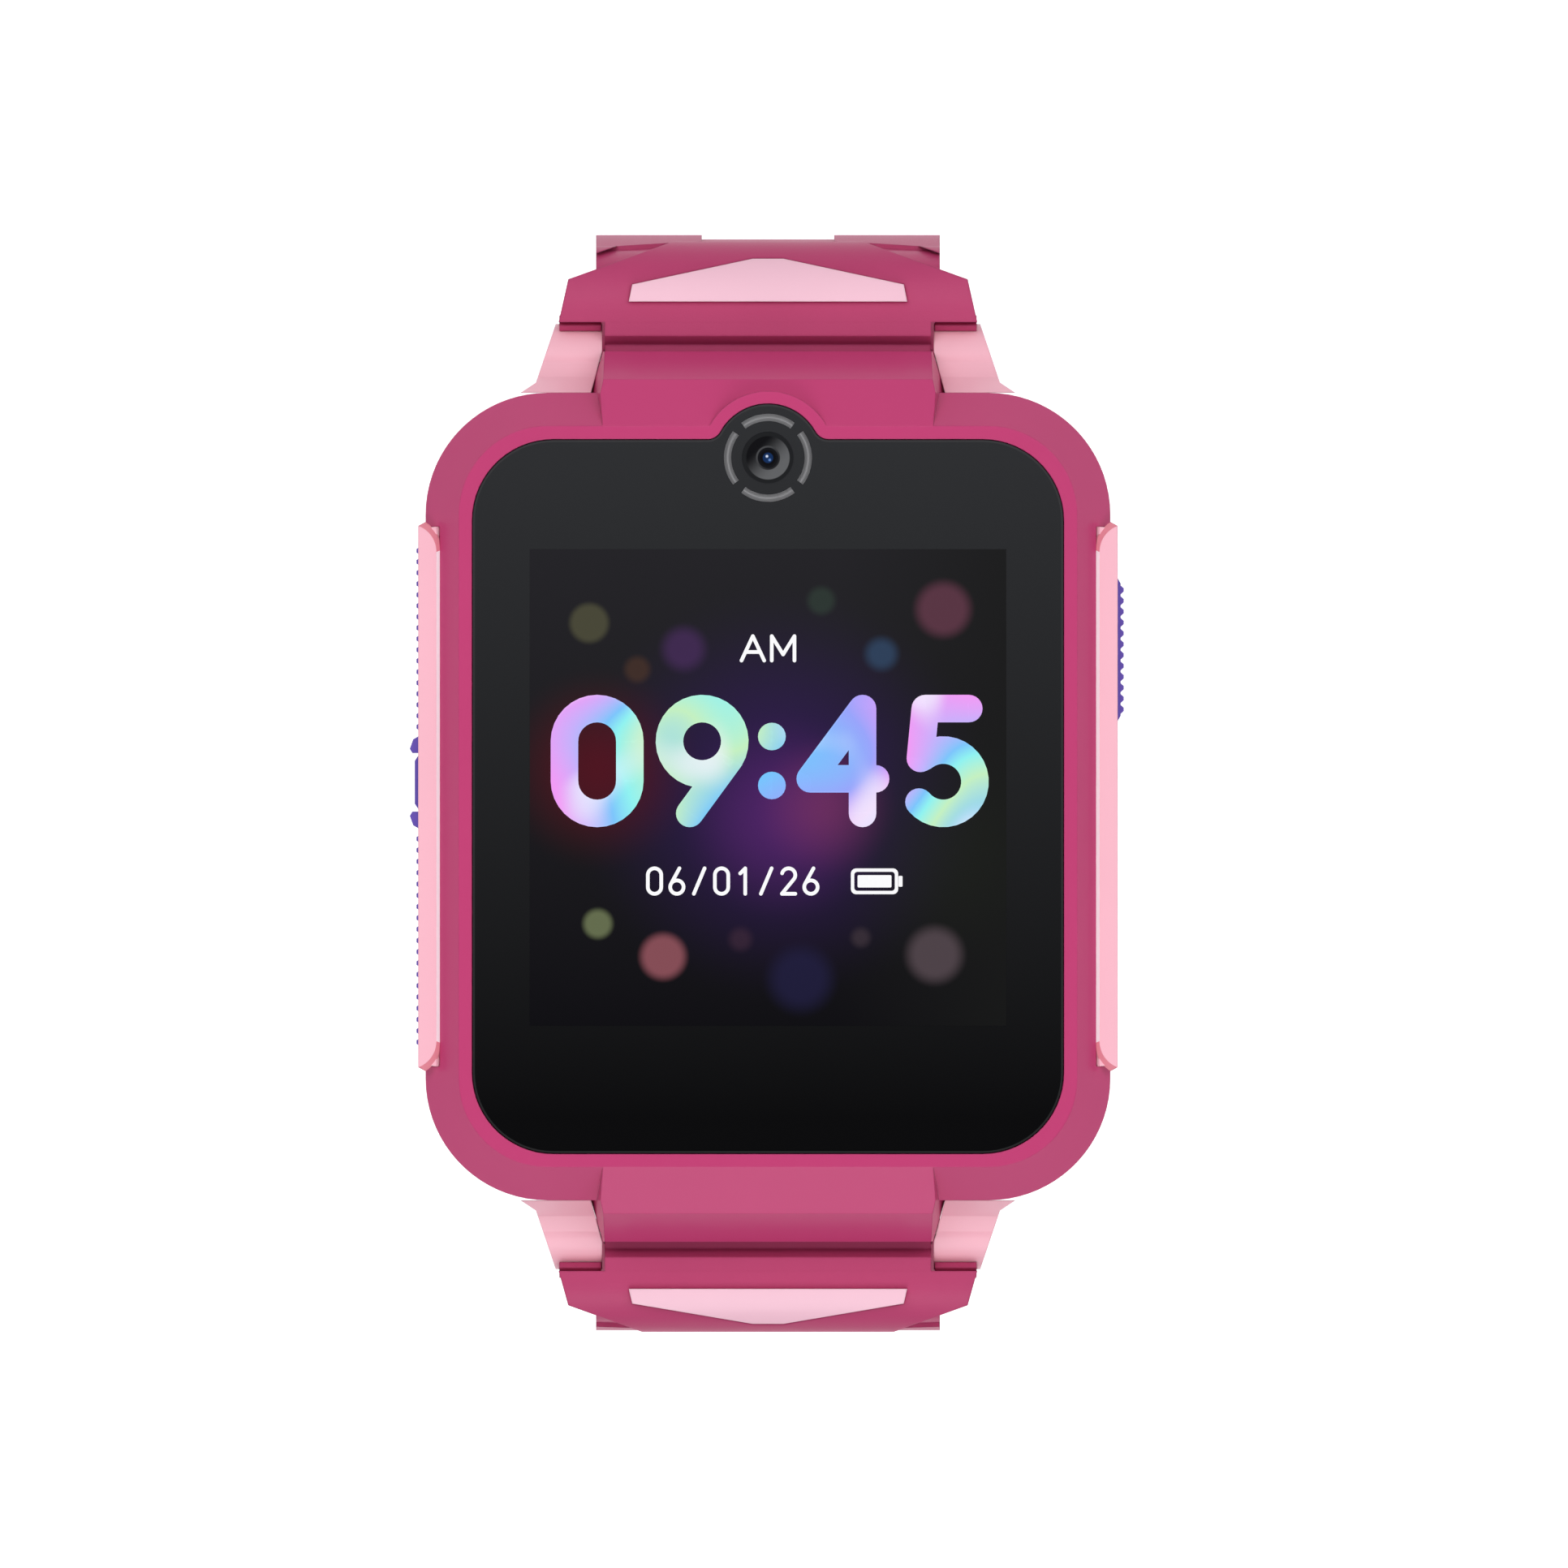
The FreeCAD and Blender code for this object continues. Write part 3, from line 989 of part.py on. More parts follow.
def strap(half):
    """Band, wide shoulder, wings and neck of one strap half."""
    word = half.word
    near = S.bar_y + S.lug_end_radius + S.shoulder_gap
    band_top = S.shoulder_top - S.plate_step
    joint = half.on_curve(0.0, half.bend_z)
    end_out = half.at_angle(0.0, half.sweep)
    end_in = half.at_angle(S.band_thick, half.sweep)
    under = half.on_curve(S.band_thick, S.shoulder_under - 1.0)
    under_y = near + 0.6

    band = component("band_" + word)
    layer(band, "Band_" + word, half, [
        joint + (S.plate_step - half.bend,), end_out + (-S.band_radius,), end_in,
        under + (S.band_radius - S.band_thick,), (under_y, S.shoulder_under),
        (S.bend_start, band_top),
    ], S.strap_half * 2)

    neck = component("neck_" + word)
    made = sketch(neck, "Barrel_" + word, "YZ_Plane")
    draw_circle(made, (S.bar_y * half.end, S.bar_z), S.barrel_radius)
    pad(neck, "BarrelPad_" + word, made, S.neck_half * 2, both=True)
    layer(neck, "Web_" + word, half, [
        (S.bar_y, S.bar_z + S.barrel_radius), (S.bar_y, S.bar_z - S.barrel_radius),
        (under_y, S.shoulder_under - 0.2), (under_y, S.shoulder_top - 0.01),
        (near - 0.8, S.shoulder_top), (near - 1.3, S.bar_z + S.barrel_radius),
    ], S.neck_half * 2)
    made = sketch(neck, "BarrelBore_" + word, "YZ_Plane")
    draw_circle(made, (S.bar_y * half.end, S.bar_z), S.bar_radius + S.bar_fit)
    pocket(neck, "BarrelBoreCut_" + word, made, S.neck_half * 2 + 2.0, both=True)

    plate = component("shoulder_" + word)
    side_y = S.bend_start + half.bend
    apex_drop = (half.chevron_y + S.chevron_slope * S.shoulder_half_far - side_y)
    low_z = half.bend_z - apex_drop
    layer(plate, "Shoulder_" + word, half, [
        (S.bend_start, S.shoulder_top), (side_y, half.bend_z, -half.bend), (side_y, low_z - 0.2),
        half.on_curve(0.6, low_z - 0.2), half.on_curve(S.band_thick, S.shoulder_under - 1.0),
        (under_y, S.shoulder_under), (near, S.shoulder_under), (near, S.shoulder_top),
    ], S.shoulder_half_near * 2)
    made = sketch(plate, "ChevronPlan_" + word, "XY_Plane", S.shoulder_top + 1.0)
    wide = S.shoulder_half_near + 2.0
    tip_y = half.chevron_y + S.chevron_slope * S.shoulder_half_far
    rows = [(S.shoulder_half_near, near), (S.shoulder_half_far, half.chevron_y), (0.0, tip_y),
            (-S.shoulder_half_far, half.chevron_y), (-S.shoulder_half_near, near),
            (-wide, near - 0.5), (-wide, tip_y + 2.0), (wide, tip_y + 2.0), (wide, near - 0.5)]
    draw(made, half.flat(rows))
    pocket(plate, "Chevron_" + word, made, 20.0)
    made = sketch(plate, "ChevronFront_" + word, "XZ_Plane")
    cross = apex_drop / S.chevron_slope
    draw(made, [(0.0, low_z), (cross, half.bend_z), (cross + 1.0, low_z - 1.0),
                (-cross - 1.0, low_z - 1.0), (-cross, half.bend_z)])
    pocket(plate, "ChevronApex_" + word, made, BIG, back=half.end < 0)

    wings = component("wings_" + word)
    rise = S.wing_rise
    layer(wings, "Wings_" + word, half, [
        half.on_curve(-rise, half.bend_z) + (S.plate_step - rise - half.bend,),
        half.at_angle(-rise, S.wing_sweep) + (-(S.band_radius + rise),),
        half.at_angle(0.5, S.wing_sweep),
        half.on_curve(0.5, half.bend_z) + (S.band_radius - 0.5,),
        (S.bend_start, band_top - 0.5, half.bend - 1.0), (S.bend_start, band_top + rise),
    ], S.strap_half * 2)
    wing_y = half.chevron_y + S.wing_lag
    turn_x = S.shoulder_half_far - (side_y - S.plate_step + rise - wing_y) / S.chevron_slope
    wide_y = wing_y - S.chevron_slope * (wide - S.shoulder_half_far)
    top_y = wing_y + S.chevron_slope * S.shoulder_half_far
    made = sketch(wings, "WingPlan_" + word, "XY_Plane", S.shoulder_top + 1.0)
    rows = [(wide, near - 1.0), (wide, wide_y), (0.0, top_y), (-wide, wide_y), (-wide, near - 1.0)]
    draw(made, half.flat(rows))
    pocket(wings, "WingCut_" + word, made, half.bend + 1.0)
    made = sketch(wings, "WingFront_" + word, "XZ_Plane")
    channel = S.channel_half
    foot = half.bend_z - S.chevron_slope * (turn_x - channel)
    draw(made, [(turn_x, half.bend_z), (channel, foot), (channel, foot - 40.0),
                (-channel, foot - 40.0), (-channel, foot), (-turn_x, half.bend_z),
                (-turn_x, half.bend_z + 6.0), (turn_x, half.bend_z + 6.0)])
    pocket(wings, "WingChannel_" + word, made, BIG, back=half.end < 0)
    return [band, neck, plate, wings]


def inlay(half):
    """Gem-shaped inlay that follows the shoulder bend, seated in its pocket."""
    word = half.word
    body = new_body("strap_inlay_" + word)
    floor = half.bend - S.inlay_deep
    lid = half.bend + S.inlay_rise
    side_y = S.bend_start + half.bend
    layer(body, "Inlay_" + word, half, [
        (S.bend_start, half.bend_z + lid), (S.bend_start + lid, half.bend_z, -lid),
        (S.bend_start + floor, half.bend_z), (S.bend_start, half.bend_z + floor, floor),
    ], S.inlay_half * 2)
    made = sketch(body, "InlayPlan_" + word, "XY_Plane", S.shoulder_top + 2.0)
    wide = S.inlay_half + 2.0
    soft = as_size(0.9)
    top = half.inlay_apex
    sag = (top - half.inlay_corner) * 0.12
    rows = [(S.inlay_half, half.inlay_start), (S.inlay_far_half, half.inlay_corner),
            (soft, top - sag), (-soft, top - sag), (-S.inlay_far_half, half.inlay_corner),
            (-S.inlay_half, half.inlay_start), (-S.inlay_half, S.bend_start - 1.0),
            (-wide, S.bend_start - 1.0), (-wide, side_y + 2.0), (wide, side_y + 2.0),
            (wide, S.bend_start - 1.0), (S.inlay_half, S.bend_start - 1.0)]
    draw(made, half.flat(rows))
    pocket(body, "InlayShape_" + word, made, 20.0)
    made = sketch(body, "InlayEdge_" + word, "XY_Plane", S.shoulder_top + 2.0)
    rows = [(wide, S.bend_start - 1.0), (wide, half.inlay_start), (-wide, half.inlay_start),
            (-wide, S.bend_start - 1.0)]
    draw(made, half.flat(rows))
    pocket(body, "InlayStraight_" + word, made, 20.0)
    return body


halves = [Half("upper"), Half("lower")]
upper, lower = halves
pieces_of = {half.word: strap(half) for half in halves}
inlays = {half.word: inlay(half) for half in halves}


# ---- buckle end, tip and holes, keepers ---------------------------------------------------
X_AXIS = Vector(1, 0, 0)


def local(body, name, half, inset, angle, plane="XY_Plane"):
    """A sketch on the band: local Y runs along the strap, or outwards on the XZ plane."""
    y, z = half.at_angle(inset, angle)
    turn = (X_AXIS, -(as_size(angle) + 90.0))
    if plane == "XY_Plane":
        return sketch(body, name, plane, z, (0.0, y * half.end), turn)
    return sketch(body, name, plane, -y, (0.0, z), turn)


bar_at = upper.at_angle(S.band_thick / 2, upper.sweep)
ending = component("buckle_end")
made = sketch(ending, "BuckleBarrel", "YZ_Plane")
draw_circle(made, bar_at, S.buckle_barrel)
pad(ending, "BuckleBarrelPad", made, S.strap_half * 2, both=True)
knife = component("strap_slot")
made = local(knife, "SlotPlan", upper, S.band_thick / 2, upper.sweep)
draw(made, [(S.slot_half, -S.slot_long), (S.slot_half, S.buckle_barrel + 1.0),
            (-S.slot_half, S.buckle_barrel + 1.0), (-S.slot_half, -S.slot_long)])
pad(knife, "SlotPad", made, S.buckle_barrel * 4, both=True)
made = sketch(knife, "BarBore", "YZ_Plane")
draw_circle(made, bar_at, S.buckle_bar_radius)
pad(knife, "BarBorePad", made, S.strap_half * 2 + 1.0, both=True)

bar = rod("buckle_bar", -(S.buckle_half - 0.4), (S.buckle_half - 0.4) * 2, S.buckle_bar_radius,
          bar_at[0], bar_at[1])

ring = new_body("buckle_frame")
made = local(ring, "FramePlan_buckle", upper, S.band_thick / 2, upper.sweep)
wide, arm, long = S.buckle_half, S.buckle_arm, S.buckle_long
inner = wide - arm
corner = S.buckle_corner
draw(made, [(wide, 0.0), (wide, long - corner), (wide - corner, long, corner),
            (corner - wide, long), (-wide, long - corner, corner), (-wide, 0.0), (-inner, 0.0),
            (-inner, long - arm - 1.0), (1.0 - inner, long - arm, as_size(-1.0)),
            (inner - 1.0, long - arm), (inner, long - arm - 1.0, as_size(-1.0)), (inner, 0.0)])
pad(ring, "FrameWire", made, S.buckle_thick, both=True)
for side, word in ((1, "right"), (-1, "left")):
    start = inner if side > 0 else -wide
    made = sketch(ring, "Eye_" + word, "YZ_Plane", start)
    draw_circle(made, bar_at, S.buckle_eye)
    pad(ring, "EyePad_" + word, made, arm)
made = sketch(ring, "EyeBore", "YZ_Plane")
draw_circle(made, bar_at, S.buckle_bar_radius + S.bar_fit)
pocket(ring, "EyeBoreCut", made, wide * 2 + 2.0, both=True)

tongue = new_body("buckle_tongue")
made = sketch(tongue, "TongueEye", "YZ_Plane")
draw_circle(made, bar_at, S.buckle_eye)
pad(tongue, "TongueEyePad", made, S.tongue_half * 2, both=True)
rest = S.buckle_thick / 2 + S.tongue_gap
made = sketch(tongue, "TongueSide", "YZ_Plane", 0.0, bar_at, (Vector(0, 0, 1), -(upper.sweep + 90.0)))
draw(made, [(0.0, 0.3), (long - arm - 1.0, rest), (long + 0.4, rest), (long + 0.4, rest + 0.6),
            (long - arm - 1.5, rest + S.tongue_thick), (1.0, S.tongue_thick + 0.3),
            (0.0, S.tongue_thick + 0.3)])
pad(tongue, "TongueBlade", made, S.tongue_half * 2, both=True)
made = sketch(tongue, "TongueBore", "YZ_Plane")
draw_circle(made, bar_at, S.buckle_bar_radius + S.bar_fit)
pocket(tongue, "TongueBoreCut", made, S.tongue_half * 2 + 2.0, both=True)


def keeper(label, angle, gap):
    """A rubber loop round the band with room for the other strap end."""
    body = new_body(label)
    made = local(body, label + "_ring", upper, 0.0, angle, "XZ_Plane")
    side = S.strap_half + gap
    low = -(S.band_thick + gap)
    high = S.keeper_room
    wall = S.keeper_wall
    draw(made, [(side + wall - 1.0, low - wall), (side + wall, low - wall + 1.0, as_size(1.0)),
                (side + wall, high + wall - 1.0), (side + wall - 1.0, high + wall, as_size(1.0)),
                (1.0 - side - wall, high + wall), (-side - wall, high + wall - 1.0, as_size(1.0)),
                (-side - wall, low - wall + 1.0), (1.0 - side - wall, low - wall, as_size(1.0))])
    draw(made, [(side, low), (side, high), (-side, high), (-side, low)])
    pad(body, label + "_loop", made, S.keeper_long, both=True)
    return body


keeper("strap_keeper_fixed", S.keeper_fixed_at, S.keeper_snug)
keeper("strap_keeper_free", S.keeper_free_at, S.keeper_gap)

# rounded tip of the holed half and its row of adjustment holes
tail = pieces_of["lower"][0]
tip_y, tip_z = lower.at_angle(S.band_thick / 2, lower.sweep)
tip_point = Vector(0, -tip_y.value, tip_z.value)


def tip_edge(edge):
    centre = edge.CenterOfMass
    flat = Vector(0, centre.y, centre.z)
    beside = abs(abs(centre.x) - S.strap_half.value) < 1e-4
    return beside and flat.distanceToPoint(tip_point) < 0.2


fillet(tail, "TipRounding", tip_edge, S.tip_round)
y0, z0 = lower.curve_y, lower.middle_z
made = sketch(tail, "HolePlan", "XY_Plane", z0, (0.0, -y0), (X_AXIS, S.hole_last - 90.0 + 180.0))
draw_circle(made, (0.0, 0.0), S.hole_half)
first_hole = pocket(tail, "AdjustHole", made, S.band_radius + 1.0, back=True)
holes = tail.newObject("PartDesign::PolarPattern", "AdjustHoles")
holes.Originals = [first_hole]
holes.Axis = (made, ["H_Axis"])
holes.Mode = "Spacing"
holes.Reversed = True
bind(holes, "Offset", S.hole_pitch)
bind(holes, "Occurrences", S.hole_count)
tail.Tip = holes
doc.recompute()

# each strap half is its moulded parts joined, less the inlay pocket and the tongue slot
joined = {}
for half in halves:
    word = half.word
    blank = doc.addObject("Part::MultiFuse", "strap_blank_" + word)
    blank.Shapes = pieces_of[word] + ([ending] if word == "upper" else [])
    blank.Refine = True
    tool = inlays[word]
    if word == "upper":
        tool = doc.addObject("Part::MultiFuse", "strap_tools")
        tool.Shapes = [inlays[word], knife]
    whole = doc.addObject("Part::Cut", "strap_" + word)
    whole.Base = blank
    whole.Tool = tool
    whole.Label = "strap_" + word
    joined[word] = whole

# ---- checks and export ----------------------------------------------------------------------
doc.recompute()
for item in doc.Objects:
    if any(word in item.State for word in ("Invalid", "Error")):
        raise RuntimeError("%s failed: %s" % (item.Label, item.State))
sub_parts = [item for item in doc.Objects if item.isDerivedFrom("PartDesign::Body")
             and item not in components]
sub_parts += list(joined.values())
for piece in sub_parts:
    if piece.Shape.isNull() or not piece.Shape.isValid() or not piece.Shape.Solids:
        raise RuntimeError("%s has no valid shape" % piece.Label)
for piece in sub_parts:
    piece.Shape.exportStep("parts/%s.step" % piece.Label)
print("%d sub-parts written" % len(sub_parts))
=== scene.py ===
import math

import bmesh
import bpy
from bpy.props import FloatProperty, FloatVectorProperty, PointerProperty
from mathutils import Matrix, Vector


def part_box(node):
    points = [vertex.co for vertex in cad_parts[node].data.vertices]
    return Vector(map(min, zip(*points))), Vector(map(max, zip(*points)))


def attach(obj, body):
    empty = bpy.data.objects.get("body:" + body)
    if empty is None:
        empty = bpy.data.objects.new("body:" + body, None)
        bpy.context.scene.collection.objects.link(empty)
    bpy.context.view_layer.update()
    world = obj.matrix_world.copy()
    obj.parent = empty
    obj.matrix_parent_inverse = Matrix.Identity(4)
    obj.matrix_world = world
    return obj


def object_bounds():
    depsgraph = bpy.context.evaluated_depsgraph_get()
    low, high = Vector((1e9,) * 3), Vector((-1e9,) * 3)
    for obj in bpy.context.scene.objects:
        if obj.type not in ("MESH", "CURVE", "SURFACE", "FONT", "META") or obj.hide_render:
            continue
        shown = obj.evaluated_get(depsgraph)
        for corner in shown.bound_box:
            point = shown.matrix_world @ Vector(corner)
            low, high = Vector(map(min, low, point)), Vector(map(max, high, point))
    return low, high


bl_info = {
    "name": "Child's Smart Watch",
    "version": (1, 0, 0),
    "blender": (4, 5, 0),
    "location": "3D View > Sidebar > Watch",
    "description": "Dresses the watch: gloss shells, silicone strap, lit display and studio",
    "category": "Object",
}

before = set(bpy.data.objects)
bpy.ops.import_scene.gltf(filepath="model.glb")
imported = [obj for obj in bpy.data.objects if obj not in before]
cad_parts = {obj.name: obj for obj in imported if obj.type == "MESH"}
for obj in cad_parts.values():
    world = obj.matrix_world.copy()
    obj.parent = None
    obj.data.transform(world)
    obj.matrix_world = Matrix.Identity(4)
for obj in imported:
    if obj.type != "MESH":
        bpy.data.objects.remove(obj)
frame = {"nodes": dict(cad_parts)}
CAD_BOX = [list(corner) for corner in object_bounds()]
MM = 0.001


# ---- shader building -------------------------------------------------------------------
class Wire:
    """One output socket; arithmetic on it adds Math nodes."""

    def __init__(self, finish, socket):
        self.finish = finish
        self.socket = socket

    def math(self, operation, *others):
        return self.finish.node("ShaderNodeMath", {"operation": operation}, (self,) + others)

    def __add__(self, other):
        return self.math("ADD", other)

    __radd__ = __add__

    def __sub__(self, other):
        return self.math("SUBTRACT", other)

    def __mul__(self, other):
        return self.math("MULTIPLY", other)

    __rmul__ = __mul__

    def __truediv__(self, other):
        return self.math("DIVIDE", other)

    def most(self, other):
        """The greater of the two."""
        return self.math("MAXIMUM", other)

    def ramp(self, low, high, smooth=True):
        """0 at low, 1 at high, for either order of the two."""
        kind = "SMOOTHSTEP" if smooth else "LINEAR"
        return self.finish.node("ShaderNodeMapRange", {"interpolation_type": kind},
                                {"Value": self, "From Min": low, "From Max": high})


class Network:
    """A node tree under construction: each method adds nodes and returns their wire."""

    def __init__(self, tree):
        self.tree = tree

    def join(self, socket, value):
        """Feed a socket from a wire, a colour or a plain value."""
        if isinstance(value, Wire):
            self.tree.links.new(value.socket, socket)
        elif isinstance(value, (tuple, list)) and len(value) == 3 and socket.type == "RGBA":
            socket.default_value = (*value, 1.0)
        else:
            socket.default_value = value

    def node(self, kind, settings, values, out=0):
        """Any node: its settings first, then its sockets by name or in order."""
        made = self.tree.nodes.new(kind)
        for name, value in settings.items():
            setattr(made, name, value)
        pairs = values.items() if isinstance(values, dict) else enumerate(values)
        for key, value in pairs:
            self.join(made.inputs[key], value)
        return Wire(self, made.outputs[out])

    def place(self):
        """Object coordinates in millimetres."""
        coords = self.tree.nodes.new("ShaderNodeTexCoord")
        return self.node("ShaderNodeVectorMath", {"operation": "SCALE"},
                         {"Vector": Wire(self, coords.outputs["Object"]), "Scale": 1000.0})

    def axes(self, vector):
        """The vector's X, Y and Z."""
        parts = self.tree.nodes.new("ShaderNodeSeparateXYZ")
        self.join(parts.inputs[0], vector)
        return [Wire(self, parts.outputs[index]) for index in range(3)]

    def noise(self, vector, scale, detail=2.0, rough=0.5, squeeze=None):
        """Noise from 0 to 1; `squeeze` scales the axes apart."""
        if squeeze:
            vector = self.node("ShaderNodeVectorMath", {"operation": "MULTIPLY"},
                               (vector, squeeze))
        return self.node("ShaderNodeTexNoise", {}, {"Vector": vector, "Scale": scale,
                                                    "Detail": detail, "Roughness": rough})

    def near(self, vector, across, along, far, close):
        """1 within `close` mm of an upright line at (across, along) metres, 0 beyond `far`."""
        flat = self.node("ShaderNodeVectorMath", {"operation": "MULTIPLY"},
                         (vector, (1.0, 1.0, 0.0)))
        gap = self.node("ShaderNodeVectorMath", {"operation": "DISTANCE"},
                        (flat, (across / MM, along / MM, 0.0)), out="Value")
        return gap.ramp(far, close)

    def blend(self, factor, low, high):
        """Mix two colours by a factor."""
        made = self.tree.nodes.new("ShaderNodeMix")
        made.data_type = "RGBA"
        self.join(made.inputs[0], factor)
        self.join(made.inputs[6], low)
        self.join(made.inputs[7], high)
        return Wire(self, made.outputs[2])

    def colour_ramp(self, factor, stops):
        """A colour ramp from (position, colour) stops."""
        made = self.tree.nodes.new("ShaderNodeValToRGB")
        ramp = made.color_ramp
        while len(ramp.elements) < len(stops):
            ramp.elements.new(0.5)
        for element, (position, colour) in zip(ramp.elements, stops):
            element.position = position
            element.color = (*colour, 1.0)
        self.join(made.inputs[0], factor)
        return Wire(self, made.outputs[0])


class Finish(Network):
    """A material under construction round one Principled shader."""

    def __init__(self, name, **base):
        self.material = bpy.data.materials.new(name)
        self.material.use_nodes = True
        super().__init__(self.material.node_tree)
        self.tree.nodes.clear()
        self.out = self.tree.nodes.new("ShaderNodeOutputMaterial")
        self.shader = self.tree.nodes.new("ShaderNodeBsdfPrincipled")
        self.tree.links.new(self.shader.outputs[0], self.out.inputs["Surface"])
        for name, value in base.items():
            self.feed(name.replace("_", " ").title().replace("Ior", "IOR"), value)

    def feed(self, name, value):
        """Set or link one input of the shader."""
        self.join(self.shader.inputs[name], value)

    def relief(self, height, distance, radius=0.0):
        """Bump from a height, on edges softened by a bevel radius in metres."""
        values = {"Height": height, "Strength": 1.0, "Distance": distance}
        if radius:
            bevel = self.node("ShaderNodeBevel", {"samples": 4}, {"Radius": radius})
            values["Normal"] = bevel
        self.feed("Normal", self.node("ShaderNodeBump", {}, values))


def linear(hexcode):
    """A linear colour from a hex string."""
    parts = [int(hexcode[i:i + 2], 16) / 255.0 for i in (1, 3, 5)]
    return tuple(c / 12.92 if c <= 0.04045 else ((c + 0.055) / 1.055) ** 2.4 for c in parts)


def shade(colour, factor):
    """A colour made lighter or darker."""
    return tuple(min(1.0, c * factor) for c in colour)


# ---- settings --------------------------------------------------------------------------
def size_prop(name, words, default, unit="LENGTH"):
    return FloatProperty(name=name, description=words, default=default * MM, unit=unit,
                         precision=5)


def colour_prop(name, words, hexcode):
    return FloatVectorProperty(name=name, description=words, default=linear(hexcode),
                               size=3, subtype="COLOR", min=0.0, max=1.0)


# soft glows on the picture: across, along, reach in mm, weight, colour
GLOWS = [(0.6, 0.2, 12.5, 0.85, "#2f1650"), (0.9, -1.2, 6.4, 0.6, "#5a2470"),
         (3.4, -0.6, 4.4, 0.55, "#7c3160"), (-9.8, 1.6, 6.2, 0.9, "#4f0a19"),
         (9.8, -3.0, 8.0, 0.4, "#1c2115")]
# blurred round lights: across, along, radius, blur in mm, weight, colour
LIGHTS = [(-10.4, 10.1, 1.1, 0.25, 0.8, "#4d4c38"), (10.2, 10.9, 1.5, 0.45, 0.8, "#603747"),
          (3.1, 11.4, 0.75, 0.3, 0.7, "#2e3b33"), (6.6, 8.3, 0.85, 0.4, 0.8, "#2e4460"),
          (-4.9, 8.6, 1.15, 0.5, 0.6, "#4a2c5e"), (-7.6, 7.4, 0.7, 0.3, 0.7, "#463025"),
          (-9.9, -7.4, 0.8, 0.25, 0.9, "#67704f"), (-6.1, -9.3, 1.25, 0.35, 0.9, "#8a4f58"),
          (9.7, -9.2, 1.5, 0.5, 0.8, "#54474d"), (5.4, -8.2, 0.5, 0.3, 0.7, "#3b3038"),
          (1.9, -10.6, 1.7, 0.7, 0.7, "#1e1b40"), (-1.6, -8.3, 0.6, 0.35, 0.6, "#3c2638")]


def middle(node, axis):
    """Middle of a carried node along an axis, metres."""
    low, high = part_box(node)
    return (low[axis] + high[axis]) / 2


GLASS_LOW, GLASS_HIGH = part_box("cover_glass")
FACE = GLASS_HIGH[2]
CAMERA_Y = middle("camera_lens", 1)
SCREEN_Y = middle("display_panel", 1)

# spring bar axis, lug ends and rails, mm
BAR_Y, BAR_Z = middle("spring_bar_upper", 1) / MM, middle("spring_bar_upper", 2) / MM
LUG_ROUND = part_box("lug_frame")[1][1] / MM - BAR_Y
LUG_INNER, LUG_OUTER = 9.65, 12.29
RAIL_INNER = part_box("side_rail_right")[0][0] / MM
RAIL_OUTER, RAIL_HALF, RAIL_TOP = (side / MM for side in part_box("side_rail_right")[1])
# rail caps, mm: spread beyond the rail, radius of the swept end, its centre and its outer end
CAP_SPREAD, CAP_ROUND, CAP_SWEEP, CAP_PEAK = 0.01, 1.9, 1.35, 0.42
# and their chamfer seen from the front, their foot and edge below the rail's top, and their rise
CAP_CHAMFER, CAP_FOOT, CAP_EDGE, CAP_RISE = 0.28, 0.2, 0.04, 0.2
# shoulder lips, mm and degrees: gap to the lug, outer face beyond it, span about the bar
LIP_GAP, LIP_OUT, LIP_SPAN = 0.07, 0.5, (-20, 38)
# printed camera marks, mm and degrees
EYE_RADIUS = 1.52
MARK_COUNT, MARK_RADIUS, MARK_WIDTH, MARK_SWEEP = 4, 2.35, 0.42, 75
# clock figures and where each stands across the face, mm
CLOCK = [("0", -9.94), ("9", -3.83), ("4", 4.36), ("5", 10.2)]
CLOCK_Y, COLON_X = 2.07, 0.22
# words, first middle, pitch, base line, height, half width, stroke, mm
CAPTIONS = [("AM", -0.88, 1.76, 7.81, 1.63, 0.66, 0.21),
            ("06/01/26", -6.6, 1.3, -5.76, 1.69, 0.39, 0.21)]
BATTERY = (6.2, -4.93, 2.75, 1.5)   # centre across and along, length, height, mm
CORNER = 0.6                        # a turn of more radians ends a stroke
FLOOR_DROP = 7.0                    # room under the watch for the buckle's swing, mm
# lamps: name, azimuth, elevation, watts
LAMPS = [("key", 125, 57, 1.25), ("fill", 35, 57, 0.95), ("rear", -90, 52, 1.5)]
LAMP_SIDE, LAMP_FAR = 0.4, 0.6      # metres
CAMERA_AT, CAMERA_SCALE = (0.933 * MM, 0.732 * MM, 0.5), 0.09123


class WatchSizes(bpy.types.PropertyGroup):
    """Sizes that a user would change."""
    screen_side: size_prop("Picture side", "Side of the lit picture area", 27.72)
    print_lift: size_prop("Print lift", "How far the picture stands above the glass", 0.012)
    stroke: size_prop("Digit stroke", "Stroke width of the clock digits", 1.6)
    digit_high: size_prop("Digit height", "Height of the clock digits", 7.7)
    edge_soft: size_prop("Edge softness", "Radius that softens moulded edges", 0.12)


class WatchColours(bpy.types.PropertyGroup):
    """Colours that a user would change."""
    shell: colour_prop("Front shell", "Gloss front housing", "#c24074")
    frame: colour_prop("Lug frame", "Gloss lug frame", "#fbbdcc")
    rail: colour_prop("Side rails", "Gloss side rails", "#f9bccb")
    trim: colour_prop("Trims and keys", "Ridged trims and side keys", "#6a56c2")
    strap: colour_prop("Strap", "Silicone strap", "#b9406e")
    inlay: colour_prop("Inlays", "Pearl inlays on the strap", "#f4c3d4")
    glass: colour_prop("Cover glass", "Black printed cover glass", "#0b0b0c")


def sizes():
    """The sizes as the user has set them."""
    return bpy.context.scene.watch_sizes


def colours():
    """The colours as the user has set them."""
    return bpy.context.scene.watch_colours


